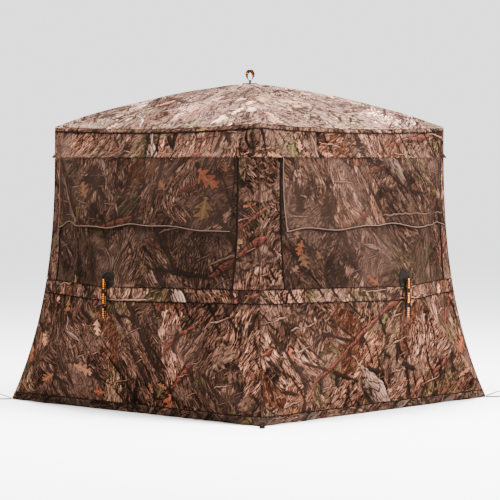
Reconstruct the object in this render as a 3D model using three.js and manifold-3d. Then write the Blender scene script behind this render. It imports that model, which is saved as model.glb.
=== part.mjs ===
// Pop up ground blind, hub style, opened. Millimetres, +Z up, ground at z = 0, front wall towards -Y.
// Five hubs (roof and four walls) each push four rods out to the corners, and the rods hold the cloth tight.
import * as THREE from 'three';
import { mergeVertices } from 'three/addons/utils/BufferGeometryUtils.js';
import Module from 'manifold-3d';

const wasm = await Module();
wasm.setup();

// Driving dimensions of the opened blind
const eaveHeight = 1463;
const eaveHalf = 738;
const baseHalf = 905;
const flarePower = 2.75;
const roofClothHeight = 1688;
const roofBow = 30;
const eaveDip = 20;
const hubHeight = 680;
const hubReach = 1060;
const wallBow = 14;
const wallSag = 10;
const clothThickness = 2;
const hemThickness = 4;
const hemHeight = 42;
const gap = 0.3;
const seamGap = 1;

// Cloth panel edges
const windowTop = 1306;
const windowBottom = 646;
const stripEdge = 640;
const flapBottom = 940;
const flapHalf = 634;
const flapLift = 6;

// Poles and hubs
const rodRadius = 5.5;
const hubPlateau = 58;
const hubDiscRadius = 54;
const hubGap = 11.7;
const hubDiscThickness = 2.8;
const hubPostRadius = 8;
const clothHoleRadius = 10;
const clothAboveMidplane = 15;
const rodTipRadius = 45;
const capRadius = 45;
const capBarHeight = 40;
const capBarRadius = 3;
const rodPlaneInset = 18;
const upperEndHalf = 698;
const upperEndDrop = 34;
const lowerEndHalf = 855;
const lowerEndRise = 40;
const roofEndHalf = 702;
const roofEndHeight = 1447;
const capRimHeight = 3.5;
const capCrownHeight = 7.5;
const capTopHeight = 9;
const capChamfer = 7;
const capPostSize = [4, 9];

// Webbing
const webbingWidth = 25;
const webbingThickness = 2.8;
const strapLength = 200;
const roofStrapRise = 36;
const stakeLoopLength = 66;
const strapBarRadius = 7;
const strapEndRadius = 9;
const roofStrapEndRadius = 24;
const stakeBarRadius = 4;
const stakeEndRadius = 15;
const groundClearance = 0.4;

// Door outline on the back wall, as (along the wall, height)
const doorOutline = [[700, 215], [250, 545], [250, 880], [600, 1240], [700, 1268]];
const zipWidth = 22;
const sliderSize = [16, 12, 7];
const sliderInset = 40;
const sliderLift = 3;
const tabSize = [34, 7, 2];
const tabOffset = 22;
const doorHingeGap = 30;
const tapeHingeGap = 26;
const doorSeam = 1.8;

const sides = ['front', 'right', 'back', 'left'];
const corners = ['front_right', 'back_right', 'back_left', 'front_left'];

const palette = {
  camo: { color: 0x7d6552, roughness: 0.9, metalness: 0 },
  roof: { color: 0x8d7566, roughness: 0.9, metalness: 0 },
  mesh: { color: 0x574639, roughness: 0.95, metalness: 0 },
  flap: { color: 0x6f5948, roughness: 0.9, metalness: 0 },
  webbing: { color: 0x1c1b1a, roughness: 0.8, metalness: 0 },
  rod: { color: 0x2a2b2c, roughness: 0.45, metalness: 0 },
  plastic: { color: 0x17181a, roughness: 0.5, metalness: 0 },
  zip: { color: 0x2b2622, roughness: 0.7, metalness: 0 },
};

const group = new THREE.Group();
group.name = 'pop_up_ground_blind';

// Wall surface. "along" runs across the wall, "out" is the distance from the blind's axis.
const leanRatio = (baseHalf - eaveHalf) / eaveHeight;
const lean = Math.atan(leanRatio);

function cornerHalf(z) {
  const rise = Math.min(Math.max(1 - z / eaveHeight, 0), 1);
  return eaveHalf + (baseHalf - eaveHalf) * rise ** flarePower;
}

// Where the pole line crosses height z: along the wall, out from the axis, and t from 0 at hub to 1 at corner
function ridgeAt(z) {
  const above = z > hubHeight;
  const start = above ? hubHeight + hubPlateau : hubHeight - hubPlateau;
  const end = above ? eaveHeight : 0;
  const half = above ? eaveHalf : baseHalf;
  const t = Math.min(Math.max((z - start) / (end - start), 0), 1);
  const flatOut = hubReach - (z - hubHeight) * leanRatio;
  if (t === 0) {
    return { along: hubPlateau, out: flatOut, t };
  }
  const startOut = hubReach - (start - hubHeight) * leanRatio;
  const bow = wallBow * 4 * t * (1 - t);
  return { along: hubPlateau + (half - hubPlateau) * t, out: startOut + (half - startOut) * t + bow, t };
}

function wallOut(along, z) {
  const ridge = ridgeAt(z);
  const half = cornerHalf(z);
  const a = Math.min(Math.abs(along), half);
  if (a <= ridge.along) {
    const across = a / ridge.along;
    return ridge.out - wallSag * 4 * ridge.t * (1 - ridge.t) * (1 - across * across);
  }
  const f = (a - ridge.along) / Math.max(half - ridge.along, 1e-6);
  return ridge.out + (half - ridge.out) * f - wallSag * (1 - ridge.t) * 4 * f * (1 - f);
}

// The eave line sags a little between the corners, and takes the top band with it
function eaveSag(along, z) {
  const v = Math.min(Math.max((z - windowTop) / (eaveHeight - windowTop), 0), 1);
  const across = Math.min(Math.abs(along) / eaveHalf, 1);
  return eaveDip * (1 - across * across) * v;
}

// A pair of points on the inner and the outer face of the cloth, on the front wall turned by quarter turns
function clothPair(along, z, quarter, thickness, lift = 0) {
  const half = cornerHalf(z);
  const out = wallOut(along, z) + lift;
  const height = z - eaveSag(along, z);
  const turn = new THREE.Matrix4().makeRotationZ(quarter * Math.PI / 2);
  const mitre = thickness * Math.sign(along) * (Math.abs(along) / half) ** 12;
  return [
    new THREE.Vector3(along, -out, height).applyMatrix4(turn),
    new THREE.Vector3(along + mitre, -(out + thickness), height).applyMatrix4(turn),
  ];
}

function evenly(from, to, count) {
  return Array.from({ length: count + 1 }, (_, i) => from + (to - from) * i / count);
}

// Positive where the triangles of a closed surface face outwards
function signedVolume(position, index) {
  const corner = (i) => new THREE.Vector3().fromArray(position, index[i] * 3);
  let volume = 0;
  for (let i = 0; i < index.length; i += 3) {
    volume += corner(i).dot(corner(i + 1).cross(corner(i + 2))) / 6;
  }
  return volume;
}

// A closed thin solid from rows of [inner, outer] pairs. A ring joins the last column to the first.
function sheetSolid(rows, ring = false, diagonalAt = () => true) {
  const columns = rows[0].length;
  const position = [];
  for (const row of rows) {
    for (const [inner, outer] of row) {
      position.push(inner.x, inner.y, inner.z, outer.x, outer.y, outer.z);
    }
  }
  const index = [];
  const at = (r, c, face) => (r * columns + c % columns) * 2 + face;
  const quad = (a, b, c, d, flip) => {
    if (flip) {
      index.push(a, b, d, b, c, d);
    } else {
      index.push(a, b, c, a, c, d);
    }
  };
  const last = ring ? columns : columns - 1;
  for (let r = 0; r < rows.length - 1; r += 1) {
    for (let c = 0; c < last; c += 1) {
      const flip = !diagonalAt(r, c);
      quad(at(r, c, 1), at(r, c + 1, 1), at(r + 1, c + 1, 1), at(r + 1, c, 1), flip);
      quad(at(r, c, 0), at(r + 1, c, 0), at(r + 1, c + 1, 0), at(r, c + 1, 0), flip);
    }
  }
  const top = rows.length - 1;
  for (let c = 0; c < last; c += 1) {
    quad(at(0, c, 0), at(0, c + 1, 0), at(0, c + 1, 1), at(0, c, 1), false);
    quad(at(top, c, 1), at(top, c + 1, 1), at(top, c + 1, 0), at(top, c, 0), false);
  }
  if (!ring) {
    const end = columns - 1;
    for (let r = 0; r < top; r += 1) {
      quad(at(r, 0, 0), at(r, 0, 1), at(r + 1, 0, 1), at(r + 1, 0, 0), false);
      quad(at(r, end, 1), at(r, end, 0), at(r + 1, end, 0), at(r + 1, end, 1), false);
    }
  }
  const geometry = new THREE.BufferGeometry();
  geometry.setAttribute('position', new THREE.Float32BufferAttribute(position, 3));
  geometry.setIndex(signedVolume(position, index) < 0 ? index.reverse() : index);
  return geometry;
}

function toManifold(source) {
  const bare = source.clone();
  for (const name of Object.keys(bare.attributes)) {
    if (name !== 'position') {
      bare.deleteAttribute(name);
    }
  }
  const merged = mergeVertices(bare, 1e-4);
  return new wasm.Manifold(new wasm.Mesh({
    numProp: 3,
    vertProperties: new Float32Array(merged.attributes.position.array),
    triVerts: new Uint32Array(merged.index.array),
  }));
}

function fromManifold(solid) {
  const mesh = solid.getMesh();
  const geometry = new THREE.BufferGeometry();
  geometry.setAttribute('position', new THREE.Float32BufferAttribute(mesh.vertProperties, 3));
  geometry.setIndex(Array.from(mesh.triVerts));
  return geometry;
}

function cut(body, ...tools) {
  return fromManifold(tools.reduce((left, tool) => left.subtract(toManifold(tool)), toManifold(body)));
}

function join(first, ...others) {
  return fromManifold(others.reduce((sum, other) => sum.add(toManifold(other)), toManifold(first)));
}

function addPart(name, geometry, look) {
  geometry.computeVertexNormals();
  const mesh = new THREE.Mesh(geometry, new THREE.MeshStandardMaterial(palette[look]));
  mesh.name = name;
  group.add(mesh);
}

// Frames that carry pieces made around the origin (X along, Y to the inside, Z outwards) to a hub
const wallNormal = new THREE.Vector3(0, -Math.cos(lean), Math.sin(lean));
const wallUp = new THREE.Vector3(0, Math.sin(lean), Math.cos(lean));

function hubFrame(side) {
  if (side === 'roof') {
    return new THREE.Matrix4().makeTranslation(0, 0, roofClothHeight - clothAboveMidplane);
  }
  const along = new THREE.Vector3(1, 0, 0);
  const frame = new THREE.Matrix4().makeBasis(along, wallUp, wallNormal);
  const centre = new THREE.Vector3(0, -hubReach, hubHeight).addScaledVector(wallNormal, -clothAboveMidplane);
  frame.setPosition(centre);
  return new THREE.Matrix4().makeRotationZ(sides.indexOf(side) * Math.PI / 2).multiply(frame);
}

// A solid of revolution about Z from a closed (radius, height) outline
function turned(outline, segments = 32) {
  const points = outline.map(([r, h]) => new THREE.Vector2(r, h));
  points.push(points[0].clone());
  const geometry = new THREE.LatheGeometry(points, segments);
  geometry.rotateX(Math.PI / 2);
  return fromManifold(toManifold(geometry));
}

function cylinderAlong(direction, radius, length, segments = 24) {
  const geometry = new THREE.CylinderGeometry(radius, radius, length, segments);
  const turn = new THREE.Quaternion().setFromUnitVectors(new THREE.Vector3(0, 1, 0), direction);
  return geometry.applyQuaternion(turn);
}

function hubBody() {
  const face = hubGap + hubDiscThickness;
  const top = clothAboveMidplane + clothThickness;
  return turned([
    [0, -face], [hubDiscRadius, -face], [hubDiscRadius, -hubGap], [hubPostRadius, -hubGap],
    [hubPostRadius, hubGap], [hubDiscRadius, hubGap], [hubDiscRadius, face], [hubPostRadius, face],
    [hubPostRadius, top], [0, top],
  ]);
}

// The outer cap, with two posts and a bar that the pull strap loops round
function hubCap() {
  const low = clothAboveMidplane + clothThickness + gap;
  const disc = turned([
    [0, low], [capRadius, low], [capRadius, low + capRimHeight],
    [capRadius - capChamfer, low + capCrownHeight], [0, low + capTopHeight],
  ]);
  const postSpan = webbingWidth / 2 + capPostSize[0];
  const postFoot = low + capTopHeight / 2;
  const postHeight = capBarHeight + capBarRadius - postFoot;
  const posts = [-1, 1].map((sign) => {
    const post = new THREE.BoxGeometry(...capPostSize, postHeight);
    return post.translate(sign * postSpan, 0, postFoot + postHeight / 2);
  });
  const bar = cylinderAlong(new THREE.Vector3(1, 0, 0), capBarRadius, 2 * postSpan);
  bar.translate(0, 0, capBarHeight);
  return join(disc, ...posts, bar);
}

// Webbing sewn into a loop: the hull of two circles, hollowed, with the first circle at the origin
// and the second further along X, as wide as the webbing along Z
function webbingLoop(firstRadius, secondRadius, length) {
  const outline = (shrink) => {
    const first = firstRadius - shrink;
    const second = secondRadius - shrink;
    const tangent = Math.acos((first - second) / length);
    const far = evenly(-tangent, tangent, 12).map((angle) => new THREE.Vector2(
      length + second * Math.cos(angle),
      second * Math.sin(angle),
    ));
    const near = evenly(tangent, 2 * Math.PI - tangent, 12).map((angle) => new THREE.Vector2(
      first * Math.cos(angle),
      first * Math.sin(angle),
    ));
    return [...far, ...near];
  };
  const shape = new THREE.Shape(outline(0));
  shape.holes.push(new THREE.Path(outline(webbingThickness).reverse()));
  const loop = new THREE.ExtrudeGeometry(shape, { depth: webbingWidth, bevelEnabled: false, steps: 1 });
  loop.translate(0, 0, -webbingWidth / 2);
  return fromManifold(toManifold(loop));
}

// A slightly bent fibreglass pole between two points, bowed towards "bowDirection"
function pole(from, to, bowDirection, bow) {
  const middle = from.clone().add(to).multiplyScalar(0.5).addScaledVector(bowDirection, 2 * bow);
  const path = new THREE.QuadraticBezierCurve3(from, middle, to);
  const section = new THREE.Shape(evenly(0, 2 * Math.PI, 10).slice(0, 10).map((angle) => new THREE.Vector2(
    rodRadius * Math.cos(angle),
    rodRadius * Math.sin(angle),
  )));
  return new THREE.ExtrudeGeometry(section, { steps: 10, extrudePath: path, bevelEnabled: false });
}

// Roof: four facets between the corner poles, with a flat patch over the hub
function roofHeightAt(x, y) {
  const far = Math.max(Math.abs(x), Math.abs(y));
  const near = Math.min(Math.abs(x), Math.abs(y));
  const t = Math.min(Math.max((far - hubPlateau) / (eaveHalf - hubPlateau), 0), 1);
  const across = far > 0 ? near / far : 1;
  const ridge = roofClothHeight + (eaveHeight - roofClothHeight) * t + roofBow * 4 * t * (1 - t);
  return ridge - eaveDip * t * t * (1 - across * across);
}

const roofHalf = eaveHalf + clothThickness;
const roofLines = [-1, -0.92, -0.84, -0.73, -0.61, -0.49, -0.37, -0.25, -0.15, -hubPlateau / roofHalf];
const roofGrid = [...roofLines, 0, ...roofLines.map((line) => -line).reverse()];
const roofRows = roofGrid.map((v) => roofGrid.map((u) => {
  const x = u * roofHalf;
  const y = v * roofHalf;
  const z = roofHeightAt(x, y);
  return [new THREE.Vector3(x, y, z), new THREE.Vector3(x, y, z + clothThickness)];
}));
const middleLine = roofLines.length;
const roofSheet = sheetSolid(roofRows, false, (r, c) => (r < middleLine) === (c < middleLine));
const roofHole = new THREE.CylinderGeometry(clothHoleRadius, clothHoleRadius, 40, 24);
roofHole.rotateX(Math.PI / 2);
roofHole.translate(0, 0, roofClothHeight);
addPart('roof_canopy', cut(roofSheet, roofHole), 'roof');

// Places along a wall at height z, from -edge to edge, with a column on each pole line
function columnsAt(z, edge) {
  const ridge = Math.min(ridgeAt(z).along, 0.97 * edge);
  const inner = evenly(0, ridge, 4);
  const outer = evenly(ridge, edge, 4).slice(1);
  const half = [...inner, ...outer];
  return [...half.slice(1).map((along) => -along).reverse(), ...half];
}

// Top band: one ring of cloth from the eave seam down to the top of the windows
function ringRow(z, thickness) {
  return [0, 1, 2, 3].flatMap((quarter) => columnsAt(z, cornerHalf(z)).slice(1).map((along) => (
    clothPair(along, z, quarter, thickness)
  )));
}

const bandHeights = evenly(windowTop + gap, eaveHeight - 2 * gap, 4);
addPart('eave_band', sheetSolid(bandHeights.map((z) => ringRow(z, clothThickness)), true), 'camo');

// Ground hem: one folded ring that the blind stands on
const hemHeights = [0, hemHeight / 2, hemHeight];
addPart('base_hem', sheetSolid(hemHeights.map((z) => ringRow(z, hemThickness)), true), 'camo');

// Door opening on the back wall: a prism through the cloth, grown or shrunk by "by"
function inset(outline, by) {
  return outline.map((point, i) => {
    const before = outline[(i + outline.length - 1) % outline.length];
    const after = outline[(i + 1) % outline.length];
    const edge = (p, q) => new THREE.Vector2(q[0] - p[0], q[1] - p[1]).normalize();
    const first = edge(before, point);
    const second = edge(point, after);
    const normals = [first, second].map((e) => new THREE.Vector2(-e.y, e.x));
    const half = normals[0].clone().add(normals[1]).normalize();
    const reach = by / half.dot(normals[0]);
    return [point[0] + half.x * reach, point[1] + half.y * reach];
  });
}

function doorPrism(by) {
  const shape = new THREE.Shape(inset(doorOutline, by).map(([a, z]) => new THREE.Vector2(a, z)));
  const prism = new THREE.ExtrudeGeometry(shape, { depth: 700, bevelEnabled: false });
  prism.rotateX(Math.PI / 2);
  prism.translate(0, -600, 0);
  return prism;
}

function panel(edgeAt, heights, quarter, thickness, lift = 0) {
  return sheetSolid(heights.map((z) => columnsAt(z, edgeAt(z)).map((along) => (
    clothPair(along, z, quarter, thickness, lift)
  ))));
}

// Walls: a lower panel with flared corners, and a window or, at the back, an upper panel
const lowerHeights = [
  hemHeight + gap, 110, 190, 280, 370, 460, 545, hubHeight - hubPlateau, windowBottom - gap,
];
const upperHeights = [
  windowBottom + gap, hubHeight, hubHeight + hubPlateau, 810, 890, 970, 1055, 1140, 1225, windowTop - gap,
];

for (const [quarter, side] of sides.entries()) {
  const lower = panel((z) => cornerHalf(z) - gap, lowerHeights, 0, clothThickness);
  const upper = panel(() => stripEdge - gap, upperHeights, 0, clothThickness);
  const hole = cylinderAlong(wallNormal, clothHoleRadius, 60);
  hole.translate(0, -hubReach, hubHeight);
  const turn = new THREE.Matrix4().makeRotationZ(quarter * Math.PI / 2);
  if (side === 'back') {
    const opening = doorPrism(seamGap);
    addPart('lower_wall_back', cut(lower, opening).applyMatrix4(turn), 'camo');
    addPart('upper_wall_back', cut(upper, hole, opening).applyMatrix4(turn), 'camo');
  } else {
    addPart(`lower_wall_${side}`, lower.applyMatrix4(turn), 'camo');
    addPart(`window_mesh_${side}`, cut(upper, hole).applyMatrix4(turn), 'mesh');
  }
}

// Corner strips beside the windows, each folded round a corner. The door side is cut back to the door seam.
for (const [quarter, corner] of corners.entries()) {
  const heights = [windowBottom + gap, 750, 900, 1080, windowTop - gap];
  const strip = sheetSolid(heights.map((z) => {
    const half = cornerHalf(z);
    const lines = evenly(stripEdge + gap, half, 3);
    const first = lines.map((along) => clothPair(along, z, quarter, clothThickness));
    const second = lines.slice(0, -1).reverse().map((along) => (
      clothPair(-along, z, quarter + 1, clothThickness)
    ));
    return [...first, ...second];
  }));
  const doorCut = doorPrism(seamGap).applyMatrix4(new THREE.Matrix4().makeRotationZ(Math.PI));
  addPart(`corner_strip_${corner}`, corner === 'back_left' ? cut(strip, doorCut) : strip, 'camo');
}

// Window flaps: cloth covers that hang outside the windows from the seam under the eave band
for (const [quarter, side] of sides.entries()) {
  if (side !== 'back') {
    const heights = [flapBottom, 1010, 1085, 1160, 1235, windowTop - 4];
    const flap = panel(() => flapHalf, heights, quarter, clothThickness, flapLift);
    addPart(`window_flap_${side}`, flap, 'flap');
  }
}

// Door: a zip tape round three edges of the opening, the cloth door inside it, and the zip slider
const tapeOuter = inset(doorOutline, 0);
const tapeInner = inset(doorOutline, -zipWidth);
const doorEdge = inset(doorOutline, -zipWidth - doorSeam);
const backTurn = 2;

function alongPath(path, steps) {
  return path.slice(1).flatMap((end, i) => evenly(0, 1, steps).slice(i === 0 ? 0 : 1).map((t) => [
    path[i][0] + (end[0] - path[i][0]) * t,
    path[i][1] + (end[1] - path[i][1]) * t,
  ]));
}

// Both edges of the tape stop just short of the door's hinge line
const hingeAlong = doorOutline[0][0];
const tapeStop = hingeAlong - tapeHingeGap;
const tapePaths = [tapeInner, tapeOuter].map((path) => {
  const [start, next] = path;
  const along = (start[0] - tapeStop) / (start[0] - next[0]);
  const stop = [tapeStop, start[1] + (next[1] - start[1]) * along];
  return alongPath([stop, ...path.slice(1, 4)], 7);
});
addPart('door_zip_tape', sheetSolid([0, 1].map((row) => tapePaths[row].map(([a, z]) => (
  clothPair(a, z, backTurn, clothThickness)
)))), 'zip');

const doorLow = (along) => {
  const t = (doorEdge[0][0] - along) / (doorEdge[0][0] - doorEdge[1][0]);
  return doorEdge[0][1] + (doorEdge[1][1] - doorEdge[0][1]) * t;
};
const doorHigh = (along) => {
  const bend = doorEdge[3];
  const end = along < bend[0] ? doorEdge[2] : doorEdge[4];
  return bend[1] + (end[1] - bend[1]) * (along - bend[0]) / (end[0] - bend[0]);
};
const doorAlong = [...evenly(doorEdge[1][0], doorEdge[3][0], 6), hingeAlong - doorHingeGap];
addPart('door_panel', sheetSolid(evenly(0, 1, 8).map((v) => doorAlong.map((along) => {
  const z = doorLow(along) + (doorHigh(along) - doorLow(along)) * v;
  return clothPair(along, z, backTurn, clothThickness);
}).reverse())), 'camo');

// The slider starts at the low end of the zip's lower run, a little in from the corner
const zipSlope = (doorOutline[1][1] - doorOutline[0][1]) / (doorOutline[0][0] - doorOutline[1][0]);
const zipStart = [
  (tapeInner[0][0] + tapeOuter[0][0]) / 2 - sliderInset,
  (tapeInner[0][1] + tapeOuter[0][1]) / 2 + sliderInset * zipSlope,
];
const sliderSeat = clothPair(zipStart[0], zipStart[1], backTurn, clothThickness)[1];
const slider = new THREE.BoxGeometry(...sliderSize);
slider.translate(0, 0, sliderSize[2] / 2 + sliderLift);
const tab = new THREE.BoxGeometry(...tabSize);
tab.translate(-tabOffset, 0, sliderSize[2] - 1);
const runEnd = clothPair(tapeOuter[1][0], tapeOuter[1][1], backTurn, clothThickness)[1];
const runStart = clothPair(tapeOuter[0][0], tapeOuter[0][1], backTurn, clothThickness)[1];
const zipRun = runEnd.clone().sub(runStart).normalize();
const across = clothPair(zipStart[0] + 20, zipStart[1] + 27, backTurn, clothThickness)[1].sub(sliderSeat);
const zipOut = zipRun.clone().cross(across).normalize();
if (zipOut.y < 0) {
  zipOut.negate();
}
const sliderFrame = new THREE.Matrix4().makeBasis(zipRun, zipOut.clone().cross(zipRun), zipOut);
sliderFrame.setPosition(sliderSeat);
addPart('door_zip_slider', join(slider, tab).applyMatrix4(sliderFrame), 'plastic');

// Hubs, caps and pull straps
for (const side of ['roof', ...sides]) {
  const frame = hubFrame(side);
  addPart(`hub_${side}`, hubBody().applyMatrix4(frame), 'plastic');
  const cap = hubCap();
  if (side === 'roof') {
    cap.rotateZ(-Math.PI / 4);
  }
  addPart(`hub_cap_${side}`, cap.applyMatrix4(frame), 'plastic');
  // Wall straps hang from the bar; the roof strap stands up from a bar set on the diagonal
  const onRoof = side === 'roof';
  const barCentre = new THREE.Vector3(0, 0, capBarHeight).applyMatrix4(frame);
  const run = new THREE.Vector3(0, 0, onRoof ? 1 : -1);
  const barTurn = onRoof ? -Math.PI / 4 : sides.indexOf(side) * Math.PI / 2;
  const barLine = new THREE.Vector3(Math.cos(barTurn), Math.sin(barTurn), 0);
  const strap = onRoof
    ? webbingLoop(strapBarRadius, roofStrapEndRadius, roofStrapRise)
    : webbingLoop(strapBarRadius, strapEndRadius, strapLength - strapBarRadius - strapEndRadius);
  const basis = new THREE.Matrix4().makeBasis(run, barLine.clone().cross(run), barLine);
  addPart(`pull_strap_${side}`, strap.applyMatrix4(basis.setPosition(barCentre)), 'webbing');
}

// Wall poles: two up to the eave corners and two down to the base corners, from inside each hub
const planeDistance = baseHalf * Math.cos(lean) - rodPlaneInset;
const upCoordinate = (half, z) => -half * Math.sin(lean) + z * Math.cos(lean);

for (const [quarter, side] of sides.entries()) {
  const turn = new THREE.Matrix4().makeRotationZ(quarter * Math.PI / 2);
  const hub = new THREE.Vector3(0, -hubReach, hubHeight).addScaledVector(wallNormal, -clothAboveMidplane);
  const ends = {
    upper: [upperEndHalf, upCoordinate(eaveHalf, eaveHeight) - upperEndDrop],
    lower: [lowerEndHalf, upCoordinate(baseHalf, 0) + lowerEndRise],
  };
  for (const [level, [along, up]] of Object.entries(ends)) {
    for (const [hand, sign] of [['left', -1], ['right', 1]]) {
      const end = new THREE.Vector3(sign * along, 0, 0);
      end.addScaledVector(wallUp, up).addScaledVector(wallNormal, planeDistance);
      const inPlane = end.clone().sub(hub);
      inPlane.addScaledVector(wallNormal, -inPlane.dot(wallNormal)).normalize();
      const tip = hub.clone().addScaledVector(inPlane, rodTipRadius);
      const rod = pole(end, tip, wallNormal, wallBow);
      addPart(`rod_${side}_${level}_${hand}`, rod.applyMatrix4(turn), 'rod');
    }
  }
}

// Roof poles, one to each eave corner
for (const [quarter, corner] of corners.entries()) {
  const turn = new THREE.Matrix4().makeRotationZ(quarter * Math.PI / 2);
  const end = new THREE.Vector3(roofEndHalf, -roofEndHalf, roofEndHeight);
  const tipReach = rodTipRadius * Math.SQRT1_2;
  const tip = new THREE.Vector3(tipReach, -tipReach, roofClothHeight - clothAboveMidplane);
  const rod = pole(end, tip, new THREE.Vector3(0, 0, 1), roofBow);
  addPart(`rod_roof_${corner}`, rod.applyMatrix4(turn), 'rod');
}

// Stake loops at the base corners
for (const [quarter, corner] of corners.entries()) {
  const turn = new THREE.Matrix4().makeRotationZ(quarter * Math.PI / 2);
  const outward = new THREE.Vector3(Math.SQRT1_2, -Math.SQRT1_2, 0);
  const sideways = new THREE.Vector3(Math.SQRT1_2, Math.SQRT1_2, 0);
  const rise = Math.asin((stakeEndRadius - stakeBarRadius) / stakeLoopLength);
  const run = outward.clone().multiplyScalar(Math.cos(rise));
  run.z = Math.sin(rise);
  const basis = new THREE.Matrix4().makeBasis(run, sideways.clone().cross(run), sideways);
  const reach = (baseHalf + hemThickness) + (stakeBarRadius + gap) * Math.SQRT1_2;
  basis.setPosition(reach, -reach, stakeBarRadius + groundClearance);
  const loop = webbingLoop(stakeBarRadius, stakeEndRadius, stakeLoopLength).applyMatrix4(basis);
  addPart(`stake_loop_${corner}`, loop.applyMatrix4(turn), 'webbing');
}

export default group;
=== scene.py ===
# Pop up ground blind: cloth, webbing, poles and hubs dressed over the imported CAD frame. Metres.
import math
from contextlib import contextmanager

import bmesh
import bpy
import numpy as np
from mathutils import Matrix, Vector
from mathutils.geometry import delaunay_2d_cdt


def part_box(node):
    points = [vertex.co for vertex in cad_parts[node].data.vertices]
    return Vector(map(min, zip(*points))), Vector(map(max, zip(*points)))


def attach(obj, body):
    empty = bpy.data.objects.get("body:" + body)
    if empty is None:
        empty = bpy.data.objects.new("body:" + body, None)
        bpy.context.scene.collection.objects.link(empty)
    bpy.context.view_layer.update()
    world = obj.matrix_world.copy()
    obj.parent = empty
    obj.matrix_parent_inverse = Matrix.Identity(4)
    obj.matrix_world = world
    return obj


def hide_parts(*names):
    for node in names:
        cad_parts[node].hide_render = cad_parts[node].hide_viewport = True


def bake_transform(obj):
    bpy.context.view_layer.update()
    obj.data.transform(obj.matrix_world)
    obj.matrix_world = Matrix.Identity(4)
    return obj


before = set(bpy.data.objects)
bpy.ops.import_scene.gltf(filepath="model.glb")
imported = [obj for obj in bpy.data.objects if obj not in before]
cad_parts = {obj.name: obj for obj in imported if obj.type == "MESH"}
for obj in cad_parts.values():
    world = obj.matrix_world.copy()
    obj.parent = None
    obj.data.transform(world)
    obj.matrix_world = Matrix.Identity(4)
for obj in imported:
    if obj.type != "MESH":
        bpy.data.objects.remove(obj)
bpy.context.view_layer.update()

# ---- sizes, as in the CAD source, in metres
EAVE_HEIGHT = 1.463
EAVE_HALF = 0.738
BASE_HALF = 0.905
FLARE_POWER = 2.75
ROOF_CLOTH_HEIGHT = 1.688
ROOF_BOW = 0.030
EAVE_DIP = 0.020
HUB_HEIGHT = 0.680
HUB_REACH = 1.060
WALL_BOW = 0.014
WALL_SAG = 0.010
HEM_HEIGHT = 0.042
WINDOW_TOP = 1.306
WINDOW_BOTTOM = 0.646
MID_BAND_BOTTOM = 0.578
STRIP_EDGE = 0.640
FLAP_BOTTOM = 0.940
FLAP_HALF = 0.634
HUB_PLATEAU = 0.058
DOOR_OUTLINE = [(0.700, 0.215), (0.250, 0.545), (0.250, 0.880), (0.600, 1.240), (0.700, 1.268)]
ZIP_WIDTH = 0.022
LEAN_RATIO = (BASE_HALF - EAVE_HALF) / EAVE_HEIGHT
LEAN = math.atan(LEAN_RATIO)

SIDES = ["front", "right", "back", "left"]
CORNERS = ["front_right", "back_right", "back_left", "front_left"]


# ---- wall and roof surfaces
def corner_half(z):
    rise = np.clip(1 - z / EAVE_HEIGHT, 0, 1)
    return EAVE_HALF + (BASE_HALF - EAVE_HALF) * rise ** FLARE_POWER


def ridge_at(z):
    """Where the pole line crosses height z: along the wall, out from the axis, 0 at hub to 1 at corner."""
    above = z > HUB_HEIGHT
    start = np.where(above, HUB_HEIGHT + HUB_PLATEAU, HUB_HEIGHT - HUB_PLATEAU)
    end = np.where(above, EAVE_HEIGHT, 0.0)
    half = np.where(above, EAVE_HALF, BASE_HALF)
    t = np.clip((z - start) / (end - start), 0, 1)
    start_out = HUB_REACH - (np.where(t == 0, z, start) - HUB_HEIGHT) * LEAN_RATIO
    out = start_out + np.where(t == 0, 0, (half - start_out) * t + WALL_BOW * 4 * t * (1 - t))
    return HUB_PLATEAU + (half - HUB_PLATEAU) * t, out, t


def wall_out(along, z):
    along, z = np.broadcast_arrays(np.asarray(along, float), np.asarray(z, float))
    ridge, out, t = ridge_at(z)
    half = corner_half(z)
    a = np.minimum(np.abs(along), half)
    inside = out - WALL_SAG * 4 * t * (1 - t) * (1 - (a / ridge) ** 2)
    f = np.clip((a - ridge) / np.maximum(half - ridge, 1e-6), 0, 1)
    outside = out + (half - out) * f - WALL_SAG * (1 - t) * 4 * f * (1 - f)
    return np.where(a <= ridge, inside, outside)


def eave_sag(along, z):
    v = np.clip((z - WINDOW_TOP) / (EAVE_HEIGHT - WINDOW_TOP), 0, 1)
    across = np.minimum(np.abs(along) / EAVE_HALF, 1)
    return EAVE_DIP * (1 - across ** 2) * v


def roof_height(x, y):
    far = np.maximum(np.abs(x), np.abs(y))
    near = np.minimum(np.abs(x), np.abs(y))
    t = np.clip((far - HUB_PLATEAU) / (EAVE_HALF - HUB_PLATEAU), 0, 1)
    across = np.where(far > 0, near / np.maximum(far, 1e-9), 1)
    ridge = ROOF_CLOTH_HEIGHT + (EAVE_HEIGHT - ROOF_CLOTH_HEIGHT) * t + ROOF_BOW * 4 * t * (1 - t)
    return ridge - EAVE_DIP * t * t * (1 - across ** 2)


def turn(points, quarter):
    """Quarter turns about Z carry front-wall points round to the other walls."""
    c, s = [(1, 0), (0, 1), (-1, 0), (0, -1)][quarter % 4]
    p = np.asarray(points, float)
    return np.stack([c * p[..., 0] - s * p[..., 1], s * p[..., 0] + c * p[..., 1], p[..., 2]], -1)


def turned_point(x, y, z, quarter=0):
    """One vector or point of the front wall, turned to the given wall."""
    return turn(np.array([[float(x), float(y), float(z)]]), quarter)[0]


def wall_points(along, z, quarter, lift=0.0):
    along, z = np.broadcast_arrays(np.asarray(along, float), np.asarray(z, float))
    out = wall_out(along, z) + lift
    return turn(np.stack([along, -out, z - eave_sag(along, z)], -1), quarter)


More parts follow.
